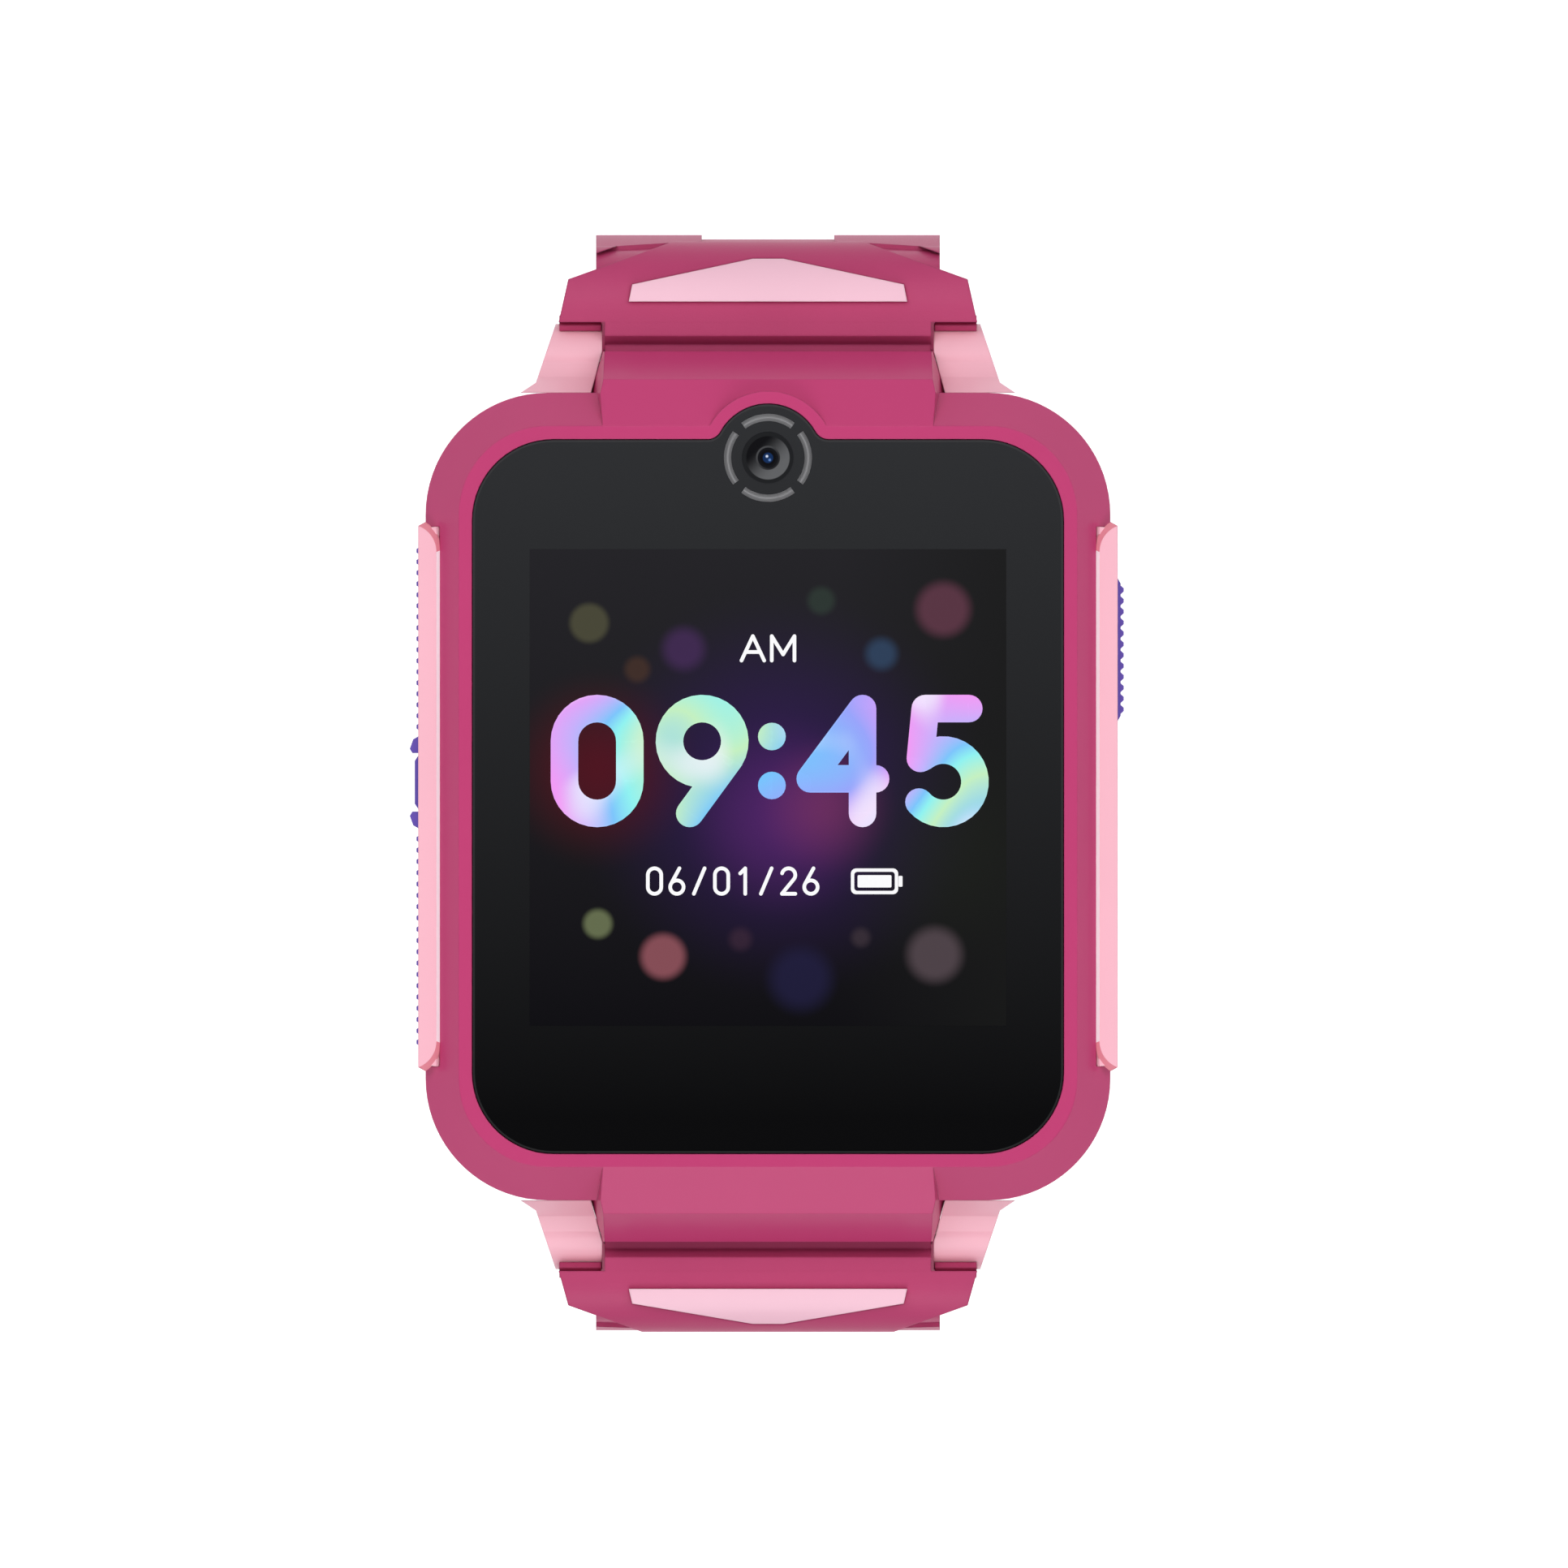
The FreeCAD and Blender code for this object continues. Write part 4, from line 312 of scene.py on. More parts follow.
# ---- finishes ----------------------------------------------------------------------------
def gloss_plastic(name, colour, roughness=0.3, coat=0.08, pearl=0.04):
    """Moulded gloss plastic: faint flow marks, soft edges and a clear top coat."""
    made = Finish(name, coat_roughness=0.1, specular_ior_level=0.22)
    spot = made.place()
    flow = made.noise(spot, 0.09, 3.0, 0.55)
    fine = made.noise(spot, 1.6, 2.0, 0.6)
    tone = made.blend(flow, shade(colour, 1 - pearl), shade(colour, 1 + pearl))
    made.feed("Base Color", tone)
    made.feed("Roughness", roughness + (fine - 0.5) * 0.08)
    made.feed("Coat Weight", coat)
    made.relief(made.noise(spot, 0.8, 2.0, 0.5), 0.000004, sizes().edge_soft)
    return made.material


def satin_plastic(name, colour, roughness=0.42):
    """Moulded satin plastic with a fine spark-eroded grain."""
    made = Finish(name)
    spot = made.place()
    grain = made.noise(spot, 14.0, 3.0, 0.6)
    wide = made.noise(spot, 0.2, 2.0, 0.5)
    made.feed("Base Color", made.blend(wide, shade(colour, 0.93), shade(colour, 1.07)))
    made.feed("Roughness", roughness + (grain - 0.5) * 0.12)
    made.relief(grain, 0.000006, sizes().edge_soft)
    return made.material


def silicone(name, colour):
    """Matte silicone: velvety skin, faint dust and mould texture."""
    made = Finish(name, specular_ior_level=0.25)
    spot = made.place()
    cloud = made.noise(spot, 0.12, 3.0, 0.6)
    skin = made.noise(spot, 9.0, 4.0, 0.65)
    made.feed("Base Color", made.blend(cloud, shade(colour, 0.94), shade(colour, 1.05)))
    made.feed("Roughness", 0.46 + (cloud - 0.5) * 0.1 + (skin - 0.5) * 0.08)
    made.relief(skin, 0.00001, sizes().edge_soft * 1.6)
    return made.material


def bright_metal(name, colour, roughness=0.24):
    """Polished plated metal with drawn lines along X."""
    made = Finish(name, metallic=1.0)
    spot = made.place()
    lines = made.noise(spot, 6.0, 3.0, 0.6, (0.05, 1.0, 1.0))
    made.feed("Base Color", made.blend(lines, shade(colour, 0.9), colour))
    made.feed("Roughness", roughness + (lines - 0.5) * 0.14)
    made.relief(lines, 0.000003, sizes().edge_soft)
    return made.material


def black_glass(name, colour):
    """Cover glass printed black from behind, with painted reflection lighter toward 12 o'clock.
    """
    made = Finish(name, ior=1.5)
    spot = made.place()
    y = made.axes(spot)[1]
    smear = made.noise(spot, 0.35, 3.0, 0.6)
    # painted reflection: the glass grows lighter toward 12 o'clock, as an overhead softbox would
    # show in it
    painted_reflection_ramp = y.ramp(GLASS_LOW[1] / MM * 0.9, GLASS_HIGH[1] / MM, smooth=False)
    tone = made.blend(painted_reflection_ramp, colour, linear("#303133"))
    made.feed("Base Color", tone)
    made.feed("Roughness", 0.035 + smear * 0.03)
    return made.material


def lit(name, tone_of, strength=1.0):
    """A glowing print coloured by its place on the face; the camera eye's glow is painted light.
    """
    made = Finish(name, base_color=(0.004, 0.004, 0.005), roughness=0.08,
                  emission_strength=strength)
    made.feed("Emission Color", tone_of(made, made.place()))
    return made.material


def backlight(made, spot):
    """The lit picture: near black with a violet heart, a red haze and soft round lights."""
    x, y = made.axes(spot)[:2]
    half = sizes().screen_side / MM / 2
    rise = y.ramp(SCREEN_Y / MM - half, SCREEN_Y / MM + half, smooth=False)
    tone = made.blend(rise, linear("#030204"), linear("#201f22"))
    tone = made.blend(x.ramp(4.0, half, smooth=False) * 0.7, tone, linear("#131410"))
    for across, along, reach, weight, colour in GLOWS:
        near = made.near(spot, across * MM, along * MM, reach, 0.0)
        tone = made.blend(near * weight, tone, linear(colour))
    for across, along, radius, blur, weight, colour in LIGHTS:
        near = made.near(spot, across * MM, along * MM, radius + blur, radius - blur)
        tone = made.blend(near * weight, tone, linear(colour))
    return tone


def candy(made, spot):
    """Pastel colours that drift over the clock figures."""
    x, y = made.axes(spot)[:2]
    drift = made.noise(spot, 0.13, 0.0, 0.4, (1.0, 1.0, 0.0))
    turn = (x * 0.05 + y * -0.035 + drift * 0.8).math("FRACT")
    tone = made.colour_ramp(turn, [(0.0, linear("#8ff2f0")), (0.12, linear("#c4f0c0")),
                                   (0.28, linear("#74c6fd")), (0.5, linear("#98a4fb")),
                                   (0.68, linear("#f29af5")), (0.8, linear("#c5b0fb")),
                                   (0.92, linear("#7cc4fb")), (1.0, linear("#8ff2f0"))])
    gleam = made.noise(spot, 0.24, 0.0, 0.3, (1.0, 1.0, 0.0)).ramp(0.5, 0.8)
    return made.blend(gleam * 0.75, tone, linear("#f1f3ff"))


def plain_white(made, spot):
    """Flat white with the faint grain of the panel."""
    return made.blend(made.noise(spot, 6.0), linear("#f7f7fb"), linear("#ffffff"))


def camera_eye(made, spot):
    """The lens under the glass: cone in painted light and shade, dark barrel and a blue heart."""
    x, y = made.axes(spot)[:2]
    # painted light and shade: darker toward the upper left, lighter toward the lower right, as a
    # lamp would light the recess
    painted_light_slope = ((x - y + CAMERA_Y / MM) * 0.36 + 0.5).ramp(0.05, 0.95)
    tone = made.blend(painted_light_slope, linear("#17181a"), linear("#2b2c2e"))
    cone = made.blend(painted_light_slope, linear("#070708"), linear("#606163"))
    rim = made.blend(painted_light_slope, linear("#48494b"), linear("#1a1a1c"))
    steps = [(1.49, linear("#1b1c1d")), (1.26, cone), (0.7, rim), (0.6, linear("#0c0d10")),
             (0.46, linear("#040405")), (0.3, linear("#0d2c58"))]
    for radius, colour in steps:
        tone = made.blend(made.near(spot, 0.0, CAMERA_Y, radius + 0.03, radius - 0.03), tone,
                          colour)
    # painted highlights on the lens: a white glint and a soft blue sheen
    glint = made.near(spot, -0.06 * MM, CAMERA_Y + 0.09 * MM, 0.11, 0.03)
    soft = made.near(spot, 0.1 * MM, CAMERA_Y - 0.12 * MM, 0.12, 0.02)
    tone = made.blend(soft * 0.7, tone, linear("#6f9be0"))
    return made.blend(glint, tone, linear("#dfeaff"))


def board_finish(name, colour):
    """Solder resist with copper tracks showing through."""
    made = Finish(name, coat_weight=0.3)
    spot = made.place()
    track = made.node("ShaderNodeTexWave", {"wave_type": "BANDS"},
                      {"Vector": spot, "Scale": 0.35, "Distortion": 3.0, "Detail": 1.0})
    made.feed("Base Color", made.blend(track.ramp(0.55, 0.7), shade(colour, 0.8),
                                       shade(colour, 1.8)))
    made.feed("Roughness", 0.4 + track * 0.1)
    return made.material


def dress(node, material):
    """Give a carried CAD node a finish."""
    holder = frame["nodes"][node]
    if not holder.material_slots:
        holder.data.materials.append(material)
    for held in holder.material_slots:
        held.material = material


class WATCH_OT_finishes(bpy.types.Operator):
    """Dress every carried CAD node with its own finish"""
    bl_idname = "watch.finishes"
    bl_label = "Finishes"

    def execute(self, context):
        tint = colours()
        steel = (0.72, 0.72, 0.74)
        shell = gloss_plastic("magenta_gloss", tuple(tint.shell))
        pink = gloss_plastic("pink_gloss", tuple(tint.frame), 0.32)
        rail = gloss_plastic("rail_gloss", tuple(tint.rail), 0.32)
        purple = satin_plastic("purple_satin", tuple(tint.trim), 0.38)
        rubber = silicone("strap_silicone", tuple(tint.strap))
        pearl = gloss_plastic("inlay_pearl", tuple(tint.inlay), 0.3, 0.1, 0.02)
        metal = bright_metal("buckle_metal", (0.8, 0.8, 0.82))
        sheet = bright_metal("sheet_metal", steel, 0.4)
        gold = bright_metal("gold_plate", (0.9, 0.68, 0.3))
        dark = satin_plastic("dark_plastic", (0.03, 0.03, 0.035))
        board = board_finish("board_resist", (0.02, 0.12, 0.06))
        glass = black_glass("cover_black", tuple(tint.glass))
        wanted = {
            "front_housing": shell, "lug_frame": pink, "rear_cover": pink,
            "side_rail_left": rail, "side_rail_right": rail,
            "grip_trim_upper": purple, "grip_trim_lower": purple,
            "home_button": purple, "side_button": purple,
            "strap_upper": rubber, "strap_lower": rubber,
            "strap_keeper_fixed": rubber, "strap_keeper_free": rubber,
            "strap_inlay_upper": pearl, "strap_inlay_lower": pearl,
            "buckle_frame": metal, "buckle_tongue": metal, "buckle_bar": metal,
            "spring_bar_upper": metal, "spring_bar_lower": metal, "cover_screws": metal,
            "display_tray": sheet, "switch_home": sheet, "switch_side": sheet,
            "microphone": sheet, "vibration_motor": sheet, "battery_pack": sheet,
            "charge_contacts": gold, "main_board": board, "speaker": dark,
            "camera_module": dark, "camera_lens": glass, "display_panel": dark,
            "cover_gasket": dark, "cover_glass": glass,
        }
        for node, material in wanted.items():
            dress(node, material)
        return {"FINISHED"}


# ---- geometry helpers ----------------------------------------------------------------------
def put(name, data, material=None, body="case"):
    """Link an object, give it a material and let it ride on a body."""
    made = bpy.data.objects.new(name, data)
    bpy.context.scene.collection.objects.link(made)
    if material:
        data.materials.append(material)
    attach(made, body)
    return made


def arc(across, along, radius, start, stop, steps=16):
    """Points along an arc, angles in degrees."""
    turns = [math.radians(start + (stop - start) * i / steps) for i in range(steps + 1)]
    return [(across + radius * math.cos(t), along + radius * math.sin(t)) for t in turns]


def runs_between_corners(points):
    """Cut a line of points at its sharp corners, so that every stroke keeps its width."""
    runs, run = [], [points[0]]
    for before, here, after in zip(points, points[1:], points[2:]):
        run.append(here)
        way_in, way_out = (Vector(b) - Vector(a) for a, b in ((before, here), (here, after)))
        if way_in.angle(way_out) > CORNER:
            runs.append((run, False))
            run = [here]
    return runs + [(run + [points[-1]], False)]


def line_curve(name, strokes, lift):
    """A poly curve from (points, closed) strokes at one height."""
    data = bpy.data.curves.new(name, "CURVE")
    data.dimensions = "3D"
    pieces = [piece for points, closed in strokes
              for piece in ([(points, True)] if closed else runs_between_corners(points))]
    for points, closed in pieces:
        spline = data.splines.new("POLY")
        spline.points.add(len(points) - 1)
        for held, (across, along) in zip(spline.points, points):
            held.co = (across, along, lift, 1.0)
        spline.use_cyclic_u = closed
    return data


def slab(name, outline, low, high, material, inner=None):
    """A closed plate over an outline of (x, y) points; `inner` gives it a matching hole."""
    shape = bmesh.new()
    rims = []
    for height in (low, high):
        for points in (outline, inner or []):
            rims.append([shape.verts.new((x, y, height)) for x, y in points])
    count = len(outline)
    for step in range(count):
        after = (step + 1) % count
        shape.faces.new((rims[0][step], rims[0][after], rims[2][after], rims[2][step]))
        if inner:
            shape.faces.new((rims[1][after], rims[1][step], rims[3][step], rims[3][after]))
            shape.faces.new((rims[0][after], rims[0][step], rims[1][step], rims[1][after]))
            shape.faces.new((rims[2][step], rims[2][after], rims[3][after], rims[3][step]))
    if not inner:
        shape.faces.new(rims[0][::-1])
        shape.faces.new(rims[2])
    bmesh.ops.recalc_face_normals(shape, faces=shape.faces)
    data = bpy.data.meshes.new(name)
    shape.to_mesh(data)
    shape.free()
    return put(name, data, material)


def rounded(across, along, wide, high, radius):
    """A rounded rectangle's outline about a centre."""
    points = []
    for turn, (sx, sy) in enumerate(((1, 1), (-1, 1), (-1, -1), (1, -1))):
        points += arc(across + sx * (wide / 2 - radius), along + sy * (high / 2 - radius),
                      radius, 90 * turn, 90 * turn + 90, 6)
    return points


class Growth(Network):
    """A Geometry Nodes group under construction."""

    def __init__(self, name, **inputs):
        super().__init__(bpy.data.node_groups.new(name, "GeometryNodeTree"))
        face = self.tree.interface
        face.new_socket("Geometry", in_out="INPUT", socket_type="NodeSocketGeometry")
        for label, kind in inputs.items():
            face.new_socket(label, in_out="INPUT", socket_type="NodeSocket" + kind)
        face.new_socket("Geometry", in_out="OUTPUT", socket_type="NodeSocketGeometry")
        entry = self.tree.nodes.new("NodeGroupInput")
        self.wires = {held.name: Wire(self, held) for held in entry.outputs if held.name}

    def finish(self, geometry):
        """Realise the instances, set the material and close the group."""
        solid = self.node("GeometryNodeRealizeInstances", {}, {"Geometry": geometry})
        dressed = self.node("GeometryNodeSetMaterial", {},
                            {"Geometry": solid, "Material": self.wires["Material"]})
        leave = self.tree.nodes.new("NodeGroupOutput")
        self.join(leave.inputs[0], dressed)
        return self.tree


def grow(name, data, tree, material, **values):
    """Evaluate a group on some data and keep the result as a plain mesh piece."""
    seed = bpy.data.objects.new(name + "_seed", data)
    bpy.context.scene.collection.objects.link(seed)
    holder = seed.modifiers.new("grow", "NODES")
    holder.node_group = tree
    values["Material"] = material
    for socket in tree.interface.items_tree:
        if socket.in_out == "INPUT" and socket.name in values:
            holder[socket.identifier] = values[socket.name]
    seen = seed.evaluated_get(bpy.context.evaluated_depsgraph_get())
    mesh = bpy.data.meshes.new_from_object(seen)
    bpy.data.objects.remove(seed)
    if not mesh.polygons:
        raise RuntimeError(name + " came out empty")
    mesh.name = name
    made = bpy.data.objects.new(name, mesh)
    bpy.context.scene.collection.objects.link(made)
    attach(made, "case")
    return made


def stroke_group():
    """Flat strokes with round ends along every spline."""
    grown = Growth("Round strokes", Width="Float", Thick="Float", Lift="Float",
                   Material="Material")
    half = grown.wires["Width"] * 0.5
    path = grown.wires["Geometry"]
    ring = grown.node("GeometryNodeCurvePrimitiveCircle", {},
                      {"Resolution": 16, "Radius": half})
    tube = grown.node("GeometryNodeCurveToMesh", {},
                      {"Curve": path, "Profile Curve": ring, "Fill Caps": True})
    ball = grown.node("GeometryNodeMeshUVSphere", {},
                      {"Segments": 24, "Rings": 8, "Radius": half})
    ends = grown.node("GeometryNodeCurveEndpointSelection", {}, {})
    caps = grown.node("GeometryNodeInstanceOnPoints", {},
                      {"Points": path, "Selection": ends, "Instance": ball})
    both = grown.tree.nodes.new("GeometryNodeJoinGeometry")
    for part in (caps, tube):
        grown.join(both.inputs[0], part)
    squash = grown.node("ShaderNodeCombineXYZ", {},
                        {"X": 1.0, "Y": 1.0,
                         "Z": grown.wires["Thick"] / grown.wires["Width"]})
    rise = grown.node("ShaderNodeCombineXYZ", {}, {"Z": grown.wires["Lift"]})
    flat = grown.node("GeometryNodeTransform", {},
                      {"Geometry": Wire(grown, both.outputs[0]), "Scale": squash,
                       "Translation": rise})
    return grown.finish(flat)


# ---- lit face ------------------------------------------------------------------------------
def figure_strokes(figure, half, tall):
    """Centre lines of one plain figure or letter inside +-half by +-tall."""
    if figure == "0":
        top, low = arc(0, tall - half, half, 0, 180), arc(0, half - tall, half, 180, 360)
        return [(top + low, True)]
    if figure == "1":
        return [([(-half * 0.55, tall * 0.6), (half * 0.2, tall), (half * 0.2, -tall)], False)]
    if figure == "2":
        bow = arc(0, tall - half, half, 165, -38, 20)
        return [(bow + [(-half, -tall), (half, -tall)], False)]
    if figure == "4":
        foot, stem = -tall * 0.34, half * 0.6
        return [([(stem, tall), (-half, foot), (half, foot)], False),
                ([(stem, tall), (stem, -tall)], False)]
    if figure == "5":
        bowl = half * 0.97
        neck = [(half * 0.78, tall), (-half * 0.55, tall), (-half * 0.7, tall * 0.05)]
        return [(neck, False),
                (neck[2:] + arc(0, bowl - tall, bowl, 128, -140, 24), False)]
    if figure == "6":
        return [([(-x, -y) for x, y in points], closed)
                for points, closed in figure_strokes("9", half, tall)]
    if figure == "9":
        ring = arc(0, tall - half, half, -32, 328, 32)
        return [(ring[:-1], True), ([ring[0], (-half * 0.38, -tall)], False)]
    if figure == "/":
        return [([(-half * 0.8, -tall), (half * 0.8, tall)], False)]
    if figure == "A":
        return [([(-half, -tall), (0, tall), (half, -tall)], False),
                ([(-half * 0.62, -tall * 0.3), (half * 0.62, -tall * 0.3)], False)]
    if figure == "M":
        return [([(-half, -tall), (-half, tall), (0, -tall * 0.5), (half, tall),
                  (half, -tall)], False)]
    raise ValueError("no strokes for the figure " + figure)


def line_of(words, start, pitch, base, high, half, stroke):
    """Strokes of a line of figures; sizes in mm, the points in metres."""
    tall = (high - stroke) / 2
    strokes = []
    for place, figure in enumerate(words):
        for points, closed in figure_strokes(figure, half, tall):
            moved = [((x + start + place * pitch) * MM, (y + base + high / 2) * MM)
                     for x, y in points]
            strokes.append((moved, closed))
    return strokes


class WATCH_OT_picture(bpy.types.Operator):
    """Make the lit picture area and the clock figures on it"""
    bl_idname = "watch.picture"
    bl_label = "Picture and clock"

    def execute(self, context):
        size = sizes()
        half, lift = size.screen_side / 2, FACE + size.print_lift
        corners = [(-half, -half), (half, -half), (half, half), (-half, half)]
        slab("screen_picture", [(x, y + SCREEN_Y) for x, y in corners],
             FACE - size.print_lift * 6, lift, lit("screen_light", backlight))
        wide, tall = size.digit_high * 0.247, (size.digit_high - size.stroke) / 2
        centre = CLOCK_Y * MM
        strokes = []
        for figure, across in CLOCK:
            for points, closed in figure_strokes(figure, wide, tall):
                moved = [(x + across * MM, y + centre) for x, y in points]
                strokes.append((moved, closed))
        for side in (-1, 1):
            dot = (COLON_X * MM, centre + side * size.digit_high * 0.185)
            strokes.append(([dot, (dot[0] + size.stroke * 0.01, dot[1])], False))
        grow("clock_figures", line_curve("clock_path", strokes, 0.0), stroke_group(),
             lit("figure_light", candy), Width=size.stroke, Thick=size.print_lift * 2,
             Lift=lift)
        return {"FINISHED"}


class WATCH_OT_captions(bpy.types.Operator):
    """Make the small white captions and the battery mark"""
    bl_idname = "watch.captions"
    bl_label = "Captions"

    def execute(self, context):
        size = sizes()
        white = lit("caption_light", plain_white)
        top = FACE + size.print_lift * 2
        strokes = []
        for words, start, pitch, base, high, half, line in CAPTIONS:
            strokes += line_of(words, start, pitch, base, high, half, line)
        grow("caption_figures", line_curve("caption_path", strokes, 0.0), stroke_group(),
             white, Width=CAPTIONS[0][-1] * MM, Thick=size.print_lift * 2, Lift=top)
        across, along = BATTERY[0] * MM, BATTERY[1] * MM
        wide, high = BATTERY[2] * MM, BATTERY[3] * MM
        line = high * 0.13
        outer = rounded(across, along, wide, high, high * 0.2)
        inner = rounded(across, along, wide - line * 2, high - line * 2, high * 0.12)
        slab("battery_case", outer, FACE, top, white, inner)
        slab("battery_charge", rounded(across, along, wide - line * 4, high - line * 4,
                                       high * 0.05), FACE, top, white)
        slab("battery_cap", rounded(across + wide / 2 + line * 0.7, along, line * 1.2,
                                    high * 0.42, line * 0.3), FACE, top, white)
        return {"FINISHED"}


def marks_group():
    """Arcs repeated round a centre, as flat printed strokes."""
    grown = Growth("Ring marks", Count="Int", Radius="Float", Width="Float", Thick="Float",
                   Sweep="Float", Material="Material")
    wires = grown.wires
    bend = grown.node("GeometryNodeCurveArc", {},
                      {"Resolution": 20, "Radius": wires["Radius"],
                       "Start Angle": wires["Sweep"] * -0.5, "Sweep Angle": wires["Sweep"]})
    section = grown.node("GeometryNodeCurvePrimitiveQuadrilateral", {},
                         {"Width": wires["Width"], "Height": wires["Thick"]})
    mark = grown.node("GeometryNodeCurveToMesh", {},
                      {"Curve": bend, "Profile Curve": section, "Fill Caps": True})
    spots = grown.node("GeometryNodeMeshLine", {}, {"Count": wires["Count"],
                                                    "Offset": (0.0, 0.0, 0.0)})
    order = grown.node("GeometryNodeInputIndex", {}, {})
    spin = grown.node("ShaderNodeCombineXYZ", {},
                      {"Z": order * (2 * math.pi) / wires["Count"]})
    ring = grown.node("GeometryNodeInstanceOnPoints", {},
                      {"Points": spots, "Instance": mark, "Rotation": spin})
    moved = grown.node("GeometryNodeTransform", {},
                       {"Geometry": ring, "Translation": (0.0, CAMERA_Y, FACE)})
    return grown.finish(moved)


class WATCH_OT_camera_marks(bpy.types.Operator):
    """Make the camera's eye and the four arcs round it"""
    bl_idname = "watch.camera_marks"
    bl_label = "Camera marks"

    def execute(self, context):
        lift = sizes().print_lift
        # the camera eye is a flat disc glowing with painted light and shade in place of the lens
        # recess
        slab("camera_eye", arc(0.0, CAMERA_Y, EYE_RADIUS * MM, 0, 360, 64)[:-1], FACE - lift,
             FACE + lift, lit("eye_print", camera_eye))
        grey = satin_plastic("mark_grey", linear("#8d8d8f"), 0.5)
        grow("camera_marks", bpy.data.meshes.new("marks_seed"), marks_group(), grey,
             Count=MARK_COUNT, Radius=MARK_RADIUS * MM, Width=MARK_WIDTH * MM, Thick=lift * 2,
             Sweep=math.radians(MARK_SWEEP))
        return {"FINISHED"}


# ---- moulded trim on the rails and shoulders -----------------------------------------------
def skin(name, rings, material, body="case", tints=None):
    """A closed skin through rings of equally many points; `tints` picks a face's material."""
    shape = bmesh.new()
    rows = [[shape.verts.new(point) for point in ring] for ring in rings]
    count = len(rings[0])
    for low, high in zip(rows, rows[1:]):
        for step in range(count):
            after = (step + 1) % count
            shape.faces.new((low[step], low[after], high[after], high[step]))
    shape.faces.new(rows[0][::-1])
    shape.faces.new(rows[-1])
    bmesh.ops.recalc_face_normals(shape, faces=shape.faces)
    data = bpy.data.meshes.new(name)
    shape.to_mesh(data)
    shape.free()
    made = put(name, data, material, body)
    for extra, wanted in tints or ():
        data.materials.append(extra)
        for face in data.polygons:
            if wanted(face):
                face.material_index = len(data.materials) - 1
    return made


def rail_outline(side, inset, shift):
    """Plan of a rail cap in mm: straight inner edge, swept ends, chamfered outer corners."""
    inner, outer = RAIL_INNER - CAP_SPREAD, RAIL_OUTER + CAP_SPREAD
    centre, turn = inner + CAP_ROUND, CAP_ROUND - inset
    peak = outer if inset else outer - CAP_PEAK
    stop = 180 - math.degrees(math.acos((centre - peak) / turn))
    end = arc(centre, RAIL_HALF - CAP_SWEEP - shift, turn, 180, stop, 12)
    half = end + [(outer, RAIL_HALF - shift)]
    points = half + [(x, -y) for x, y in reversed(half)]
    return [(x * side, y) for x, y in points]


class WATCH_OT_rail_caps(bpy.types.Operator):
    """Cap both side rails with swept ends; inner chamfer has painted highlight, ends painted
    shade
    """
    bl_idname = "watch.rail_caps"
    bl_label = "Rail caps"

    def execute(self, context):
        rail = gloss_plastic("rail_cap", tuple(colours().rail), 0.32)
        # painted highlight on the straight inner chamfer and painted shade on the end chamfers:
        # lighter and darker copies of the rail pink
        light = gloss_plastic("rail_edge_light", linear("#fff1f6"), 0.25)
        painted_shade = gloss_plastic("rail_edge_rose", linear("#e58c9b"), 0.3)
        for side, word in ((1, "right"), (-1, "left")):
            wide, narrow = rail_outline(side, 0.0, 0.0), rail_outline(side, CAP_CHAMFER, 0.12)
            rings = [[(x * MM, y * MM, (RAIL_TOP + rise) * MM) for x, y in plan]
                     for plan, rise in ((wide, -CAP_FOOT), (wide, -CAP_EDGE), (narrow, CAP_RISE))]

            def sloped(face):
                return 0.2 < face.normal.z < 0.95

            def straight(face):
                return sloped(face) and abs(face.center.y) < 0.2 * RAIL_HALF * MM

            skin("rail_cap_" + word, rings, rail, tints=[(painted_shade, sloped), (light, straight)])
        return {"FINISHED"}


class WATCH_OT_shoulder_lips(bpy.types.Operator):
    """Make the soft lips of the strap shoulders that follow the round lug ends"""
    bl_idname = "watch.shoulder_lips"
    bl_label = "Shoulder lips"

    def execute(self, context):
        rubber = silicone("lip_silicone", tuple(colours().strap))
        for end, body in ((1, "strap_top"), (-1, "strap_bottom")):
            for side, hand in ((1, "right"), (-1, "left")):
                near, far = (side * x * MM for x in (LUG_INNER + 0.05, LUG_OUTER - 0.15))
                inner = arc(BAR_Y, BAR_Z, LUG_ROUND + LIP_GAP, *LIP_SPAN, 10)
                outer = arc(BAR_Y, BAR_Z, LUG_ROUND + LIP_OUT, *reversed(LIP_SPAN), 10)
                section = [(y * end * MM, z * MM) for y, z in inner + outer]
                rings = [[(x, y, z) for y, z in section] for x in (near, far)]
                skin("shoulder_lip_%s_%s" % (body[6:], hand), rings, rubber, body)
        return {"FINISHED"}


# ---- stage -----------------------------------------------------------------------------------
def studio_world():
    """Soft daylight for the object, dark overhead so that the flat glass stays black."""
    world = bpy.data.worlds.new("studio")
    world.use_nodes = True
    made = Network(world.node_tree)
    made.tree.nodes.clear()
    coords = made.tree.nodes.new("ShaderNodeTexCoord")
    z = made.axes(Wire(made, coords.outputs["Generated"]))[2]
    dome = made.blend(z.ramp(0.7, 0.97), (0.4, 0.4, 0.41), (0.02, 0.02, 0.022))
    ray = made.tree.nodes.new("ShaderNodeLightPath")
    tone = made.blend(Wire(made, ray.outputs["Is Camera Ray"]), dome, (1.0, 1.0, 1.0))
    sky = made.node("ShaderNodeBackground", {}, {"Color": tone, "Strength": 1.0})
    out = made.tree.nodes.new("ShaderNodeOutputWorld")
    made.join(out.inputs["Surface"], sky)
    bpy.context.scene.world = world


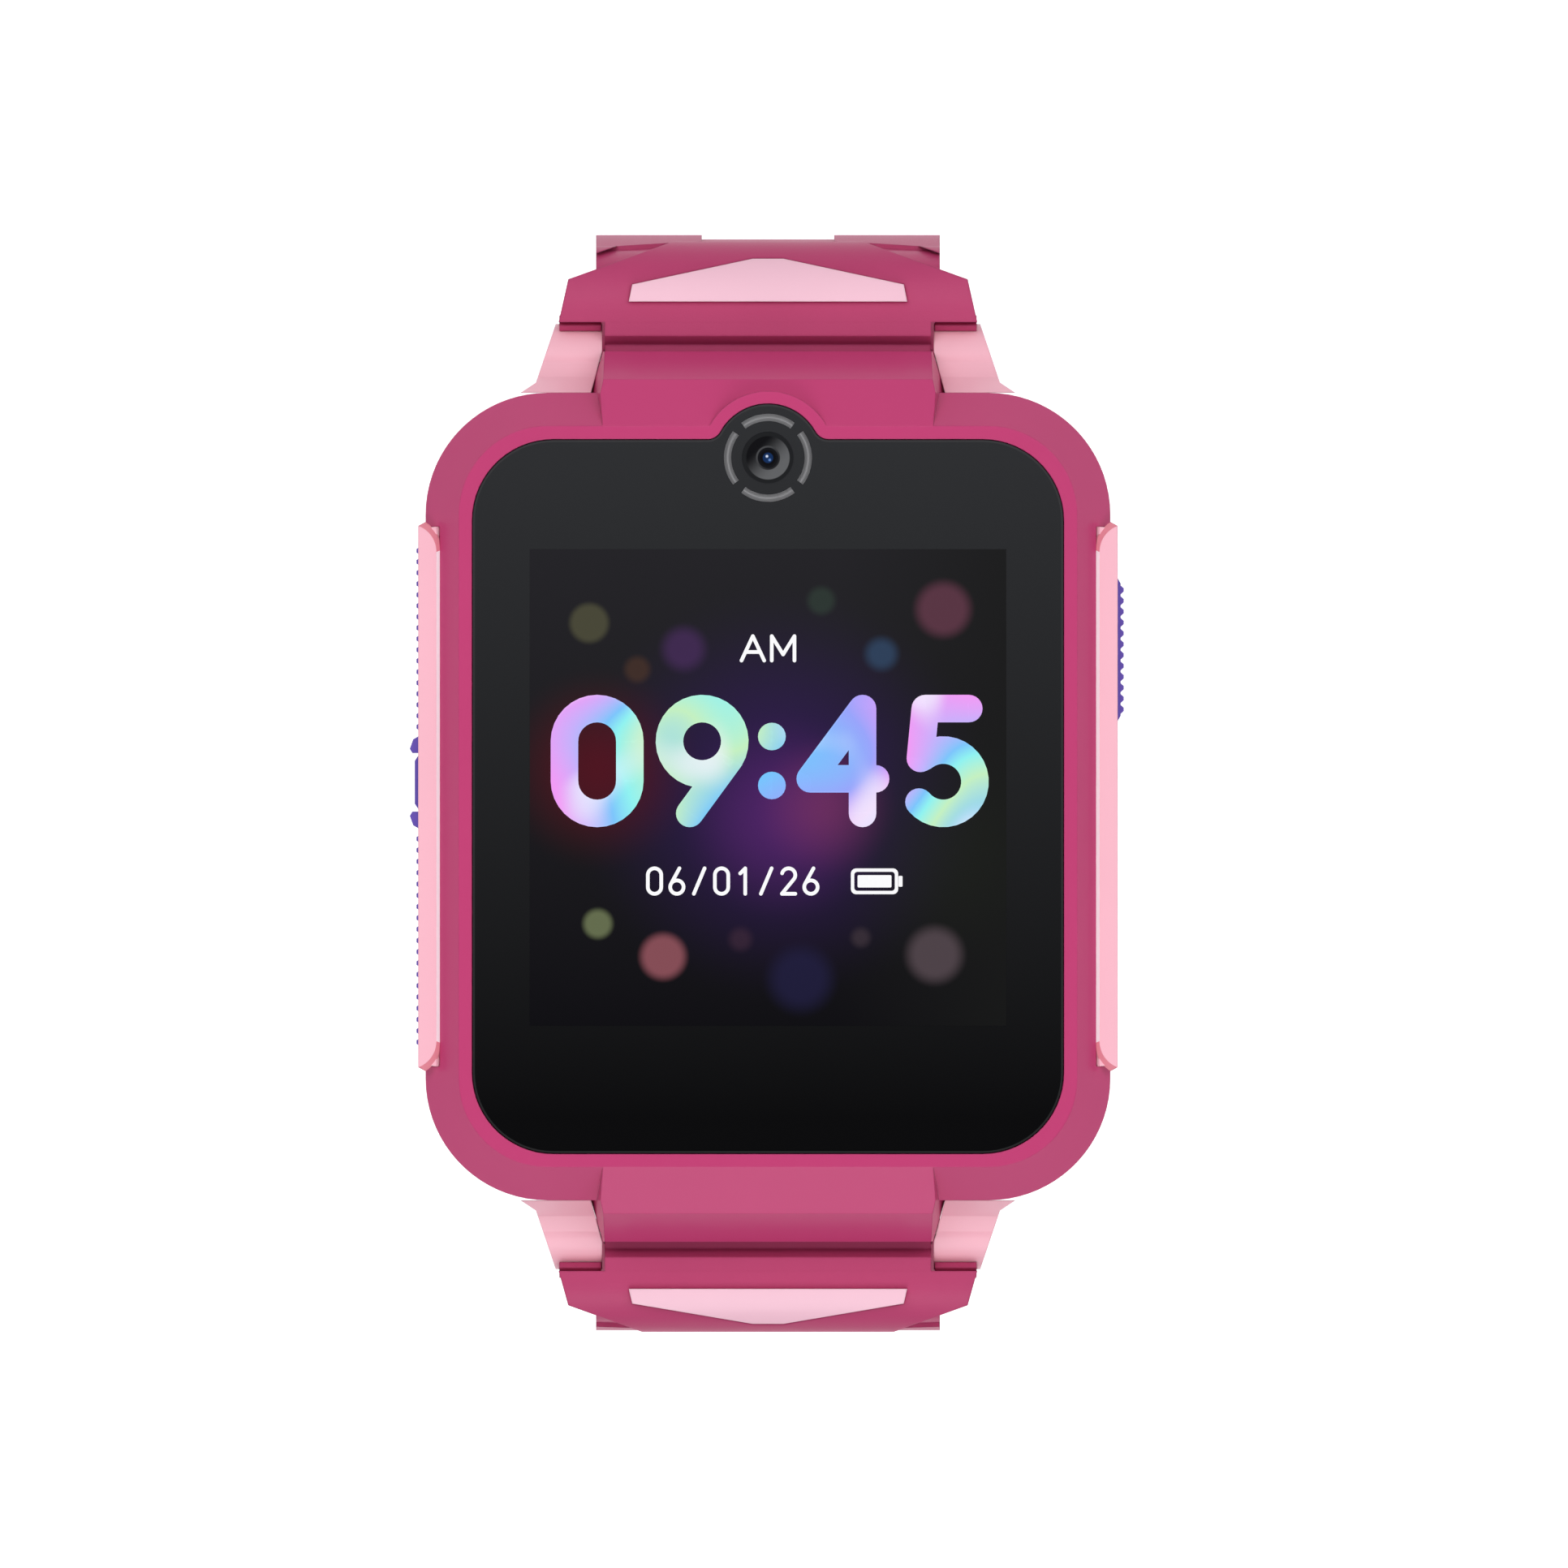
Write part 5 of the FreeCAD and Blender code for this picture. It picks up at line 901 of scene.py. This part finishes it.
def floor_finish():
    """Plain pale floor that reads white and keeps the shadow under the object."""
    made = Finish("floor_white", base_color=(0.72, 0.72, 0.73), roughness=0.8)
    ray = made.tree.nodes.new("ShaderNodeLightPath")
    seen = Wire(made, ray.outputs["Is Camera Ray"])
    shown = seen.most(Wire(made, ray.outputs["Is Glossy Ray"]))
    shown = shown.most(Wire(made, ray.outputs["Is Transmission Ray"]))
    glow = made.blend(shown, (0.0, 0.0, 0.0), (0.62, 0.62, 0.62))
    made.feed("Emission Color", glow)
    made.feed("Emission Strength", 1.0)
    return made.material


def softbox(name, azimuth, elevation, power):
    """A square area lamp that looks at the watch."""
    turn, lift = math.radians(azimuth), math.radians(elevation)
    way = Vector((math.cos(turn) * math.cos(lift), math.sin(turn) * math.cos(lift),
                  math.sin(lift)))
    data = bpy.data.lights.new(name, "AREA")
    data.shape = "SQUARE"
    data.size = LAMP_SIDE
    data.energy = power
    made = bpy.data.objects.new(name, data)
    made.location = way * LAMP_FAR
    made.rotation_mode = "QUATERNION"
    made.rotation_quaternion = (-way).to_track_quat("-Z", "Y")
    bpy.context.scene.collection.objects.link(made)


class WATCH_OT_stage(bpy.types.Operator):
    """Make the floor, the studio light and the camera"""
    bl_idname = "watch.stage"
    bl_label = "Stage"

    def execute(self, context):
        scene = context.scene
        studio_world()
        shape = bmesh.new()
        bmesh.ops.create_grid(shape, x_segments=1, y_segments=1, size=1.5)
        data = bpy.data.meshes.new("floor")
        shape.to_mesh(data)
        shape.free()
        data.transform(Matrix.Translation((0, 0, CAD_BOX[0][2] - FLOOR_DROP * MM)))
        data.materials.append(floor_finish())
        floor = bpy.data.objects.new("floor", data)
        scene.collection.objects.link(floor)
        for lamp in LAMPS:
            softbox(*lamp)
        data = bpy.data.cameras.new("camera")
        data.type = "ORTHO"
        data.ortho_scale = CAMERA_SCALE
        data.clip_end = 5.0
        camera = bpy.data.objects.new("camera", data)
        camera.location = CAMERA_AT
        scene.collection.objects.link(camera)
        scene.camera = camera
        scene.view_settings.view_transform = "Standard"
        return {"FINISHED"}


class WATCH_PT_panel(bpy.types.Panel):
    """Sizes, colours and steps in the sidebar"""
    bl_label = "Watch"
    bl_idname = "WATCH_PT_panel"
    bl_space_type = "VIEW_3D"
    bl_region_type = "UI"
    bl_category = "Watch"

    def draw(self, context):
        for group in (context.scene.watch_sizes, context.scene.watch_colours):
            box = self.layout.box()
            for name in group.bl_rna.properties.keys():
                if name not in ("rna_type", "name"):
                    box.prop(group, name)
        for step in STEPS:
            self.layout.operator(step.bl_idname)


STEPS = (WATCH_OT_finishes, WATCH_OT_picture, WATCH_OT_captions, WATCH_OT_camera_marks,
         WATCH_OT_rail_caps, WATCH_OT_shoulder_lips, WATCH_OT_stage)
CLASSES = (WatchSizes, WatchColours) + STEPS + (WATCH_PT_panel,)


def register():
    for held in CLASSES:
        bpy.utils.register_class(held)
    bpy.types.Scene.watch_sizes = PointerProperty(type=WatchSizes)
    bpy.types.Scene.watch_colours = PointerProperty(type=WatchColours)


def unregister():
    del bpy.types.Scene.watch_colours
    del bpy.types.Scene.watch_sizes
    for held in reversed(CLASSES):
        bpy.utils.unregister_class(held)


def main():
    register()
    for step in STEPS:
        group, name = step.bl_idname.split(".")
        getattr(getattr(bpy.ops, group), name)()


if __name__ == "__main__":
    main()
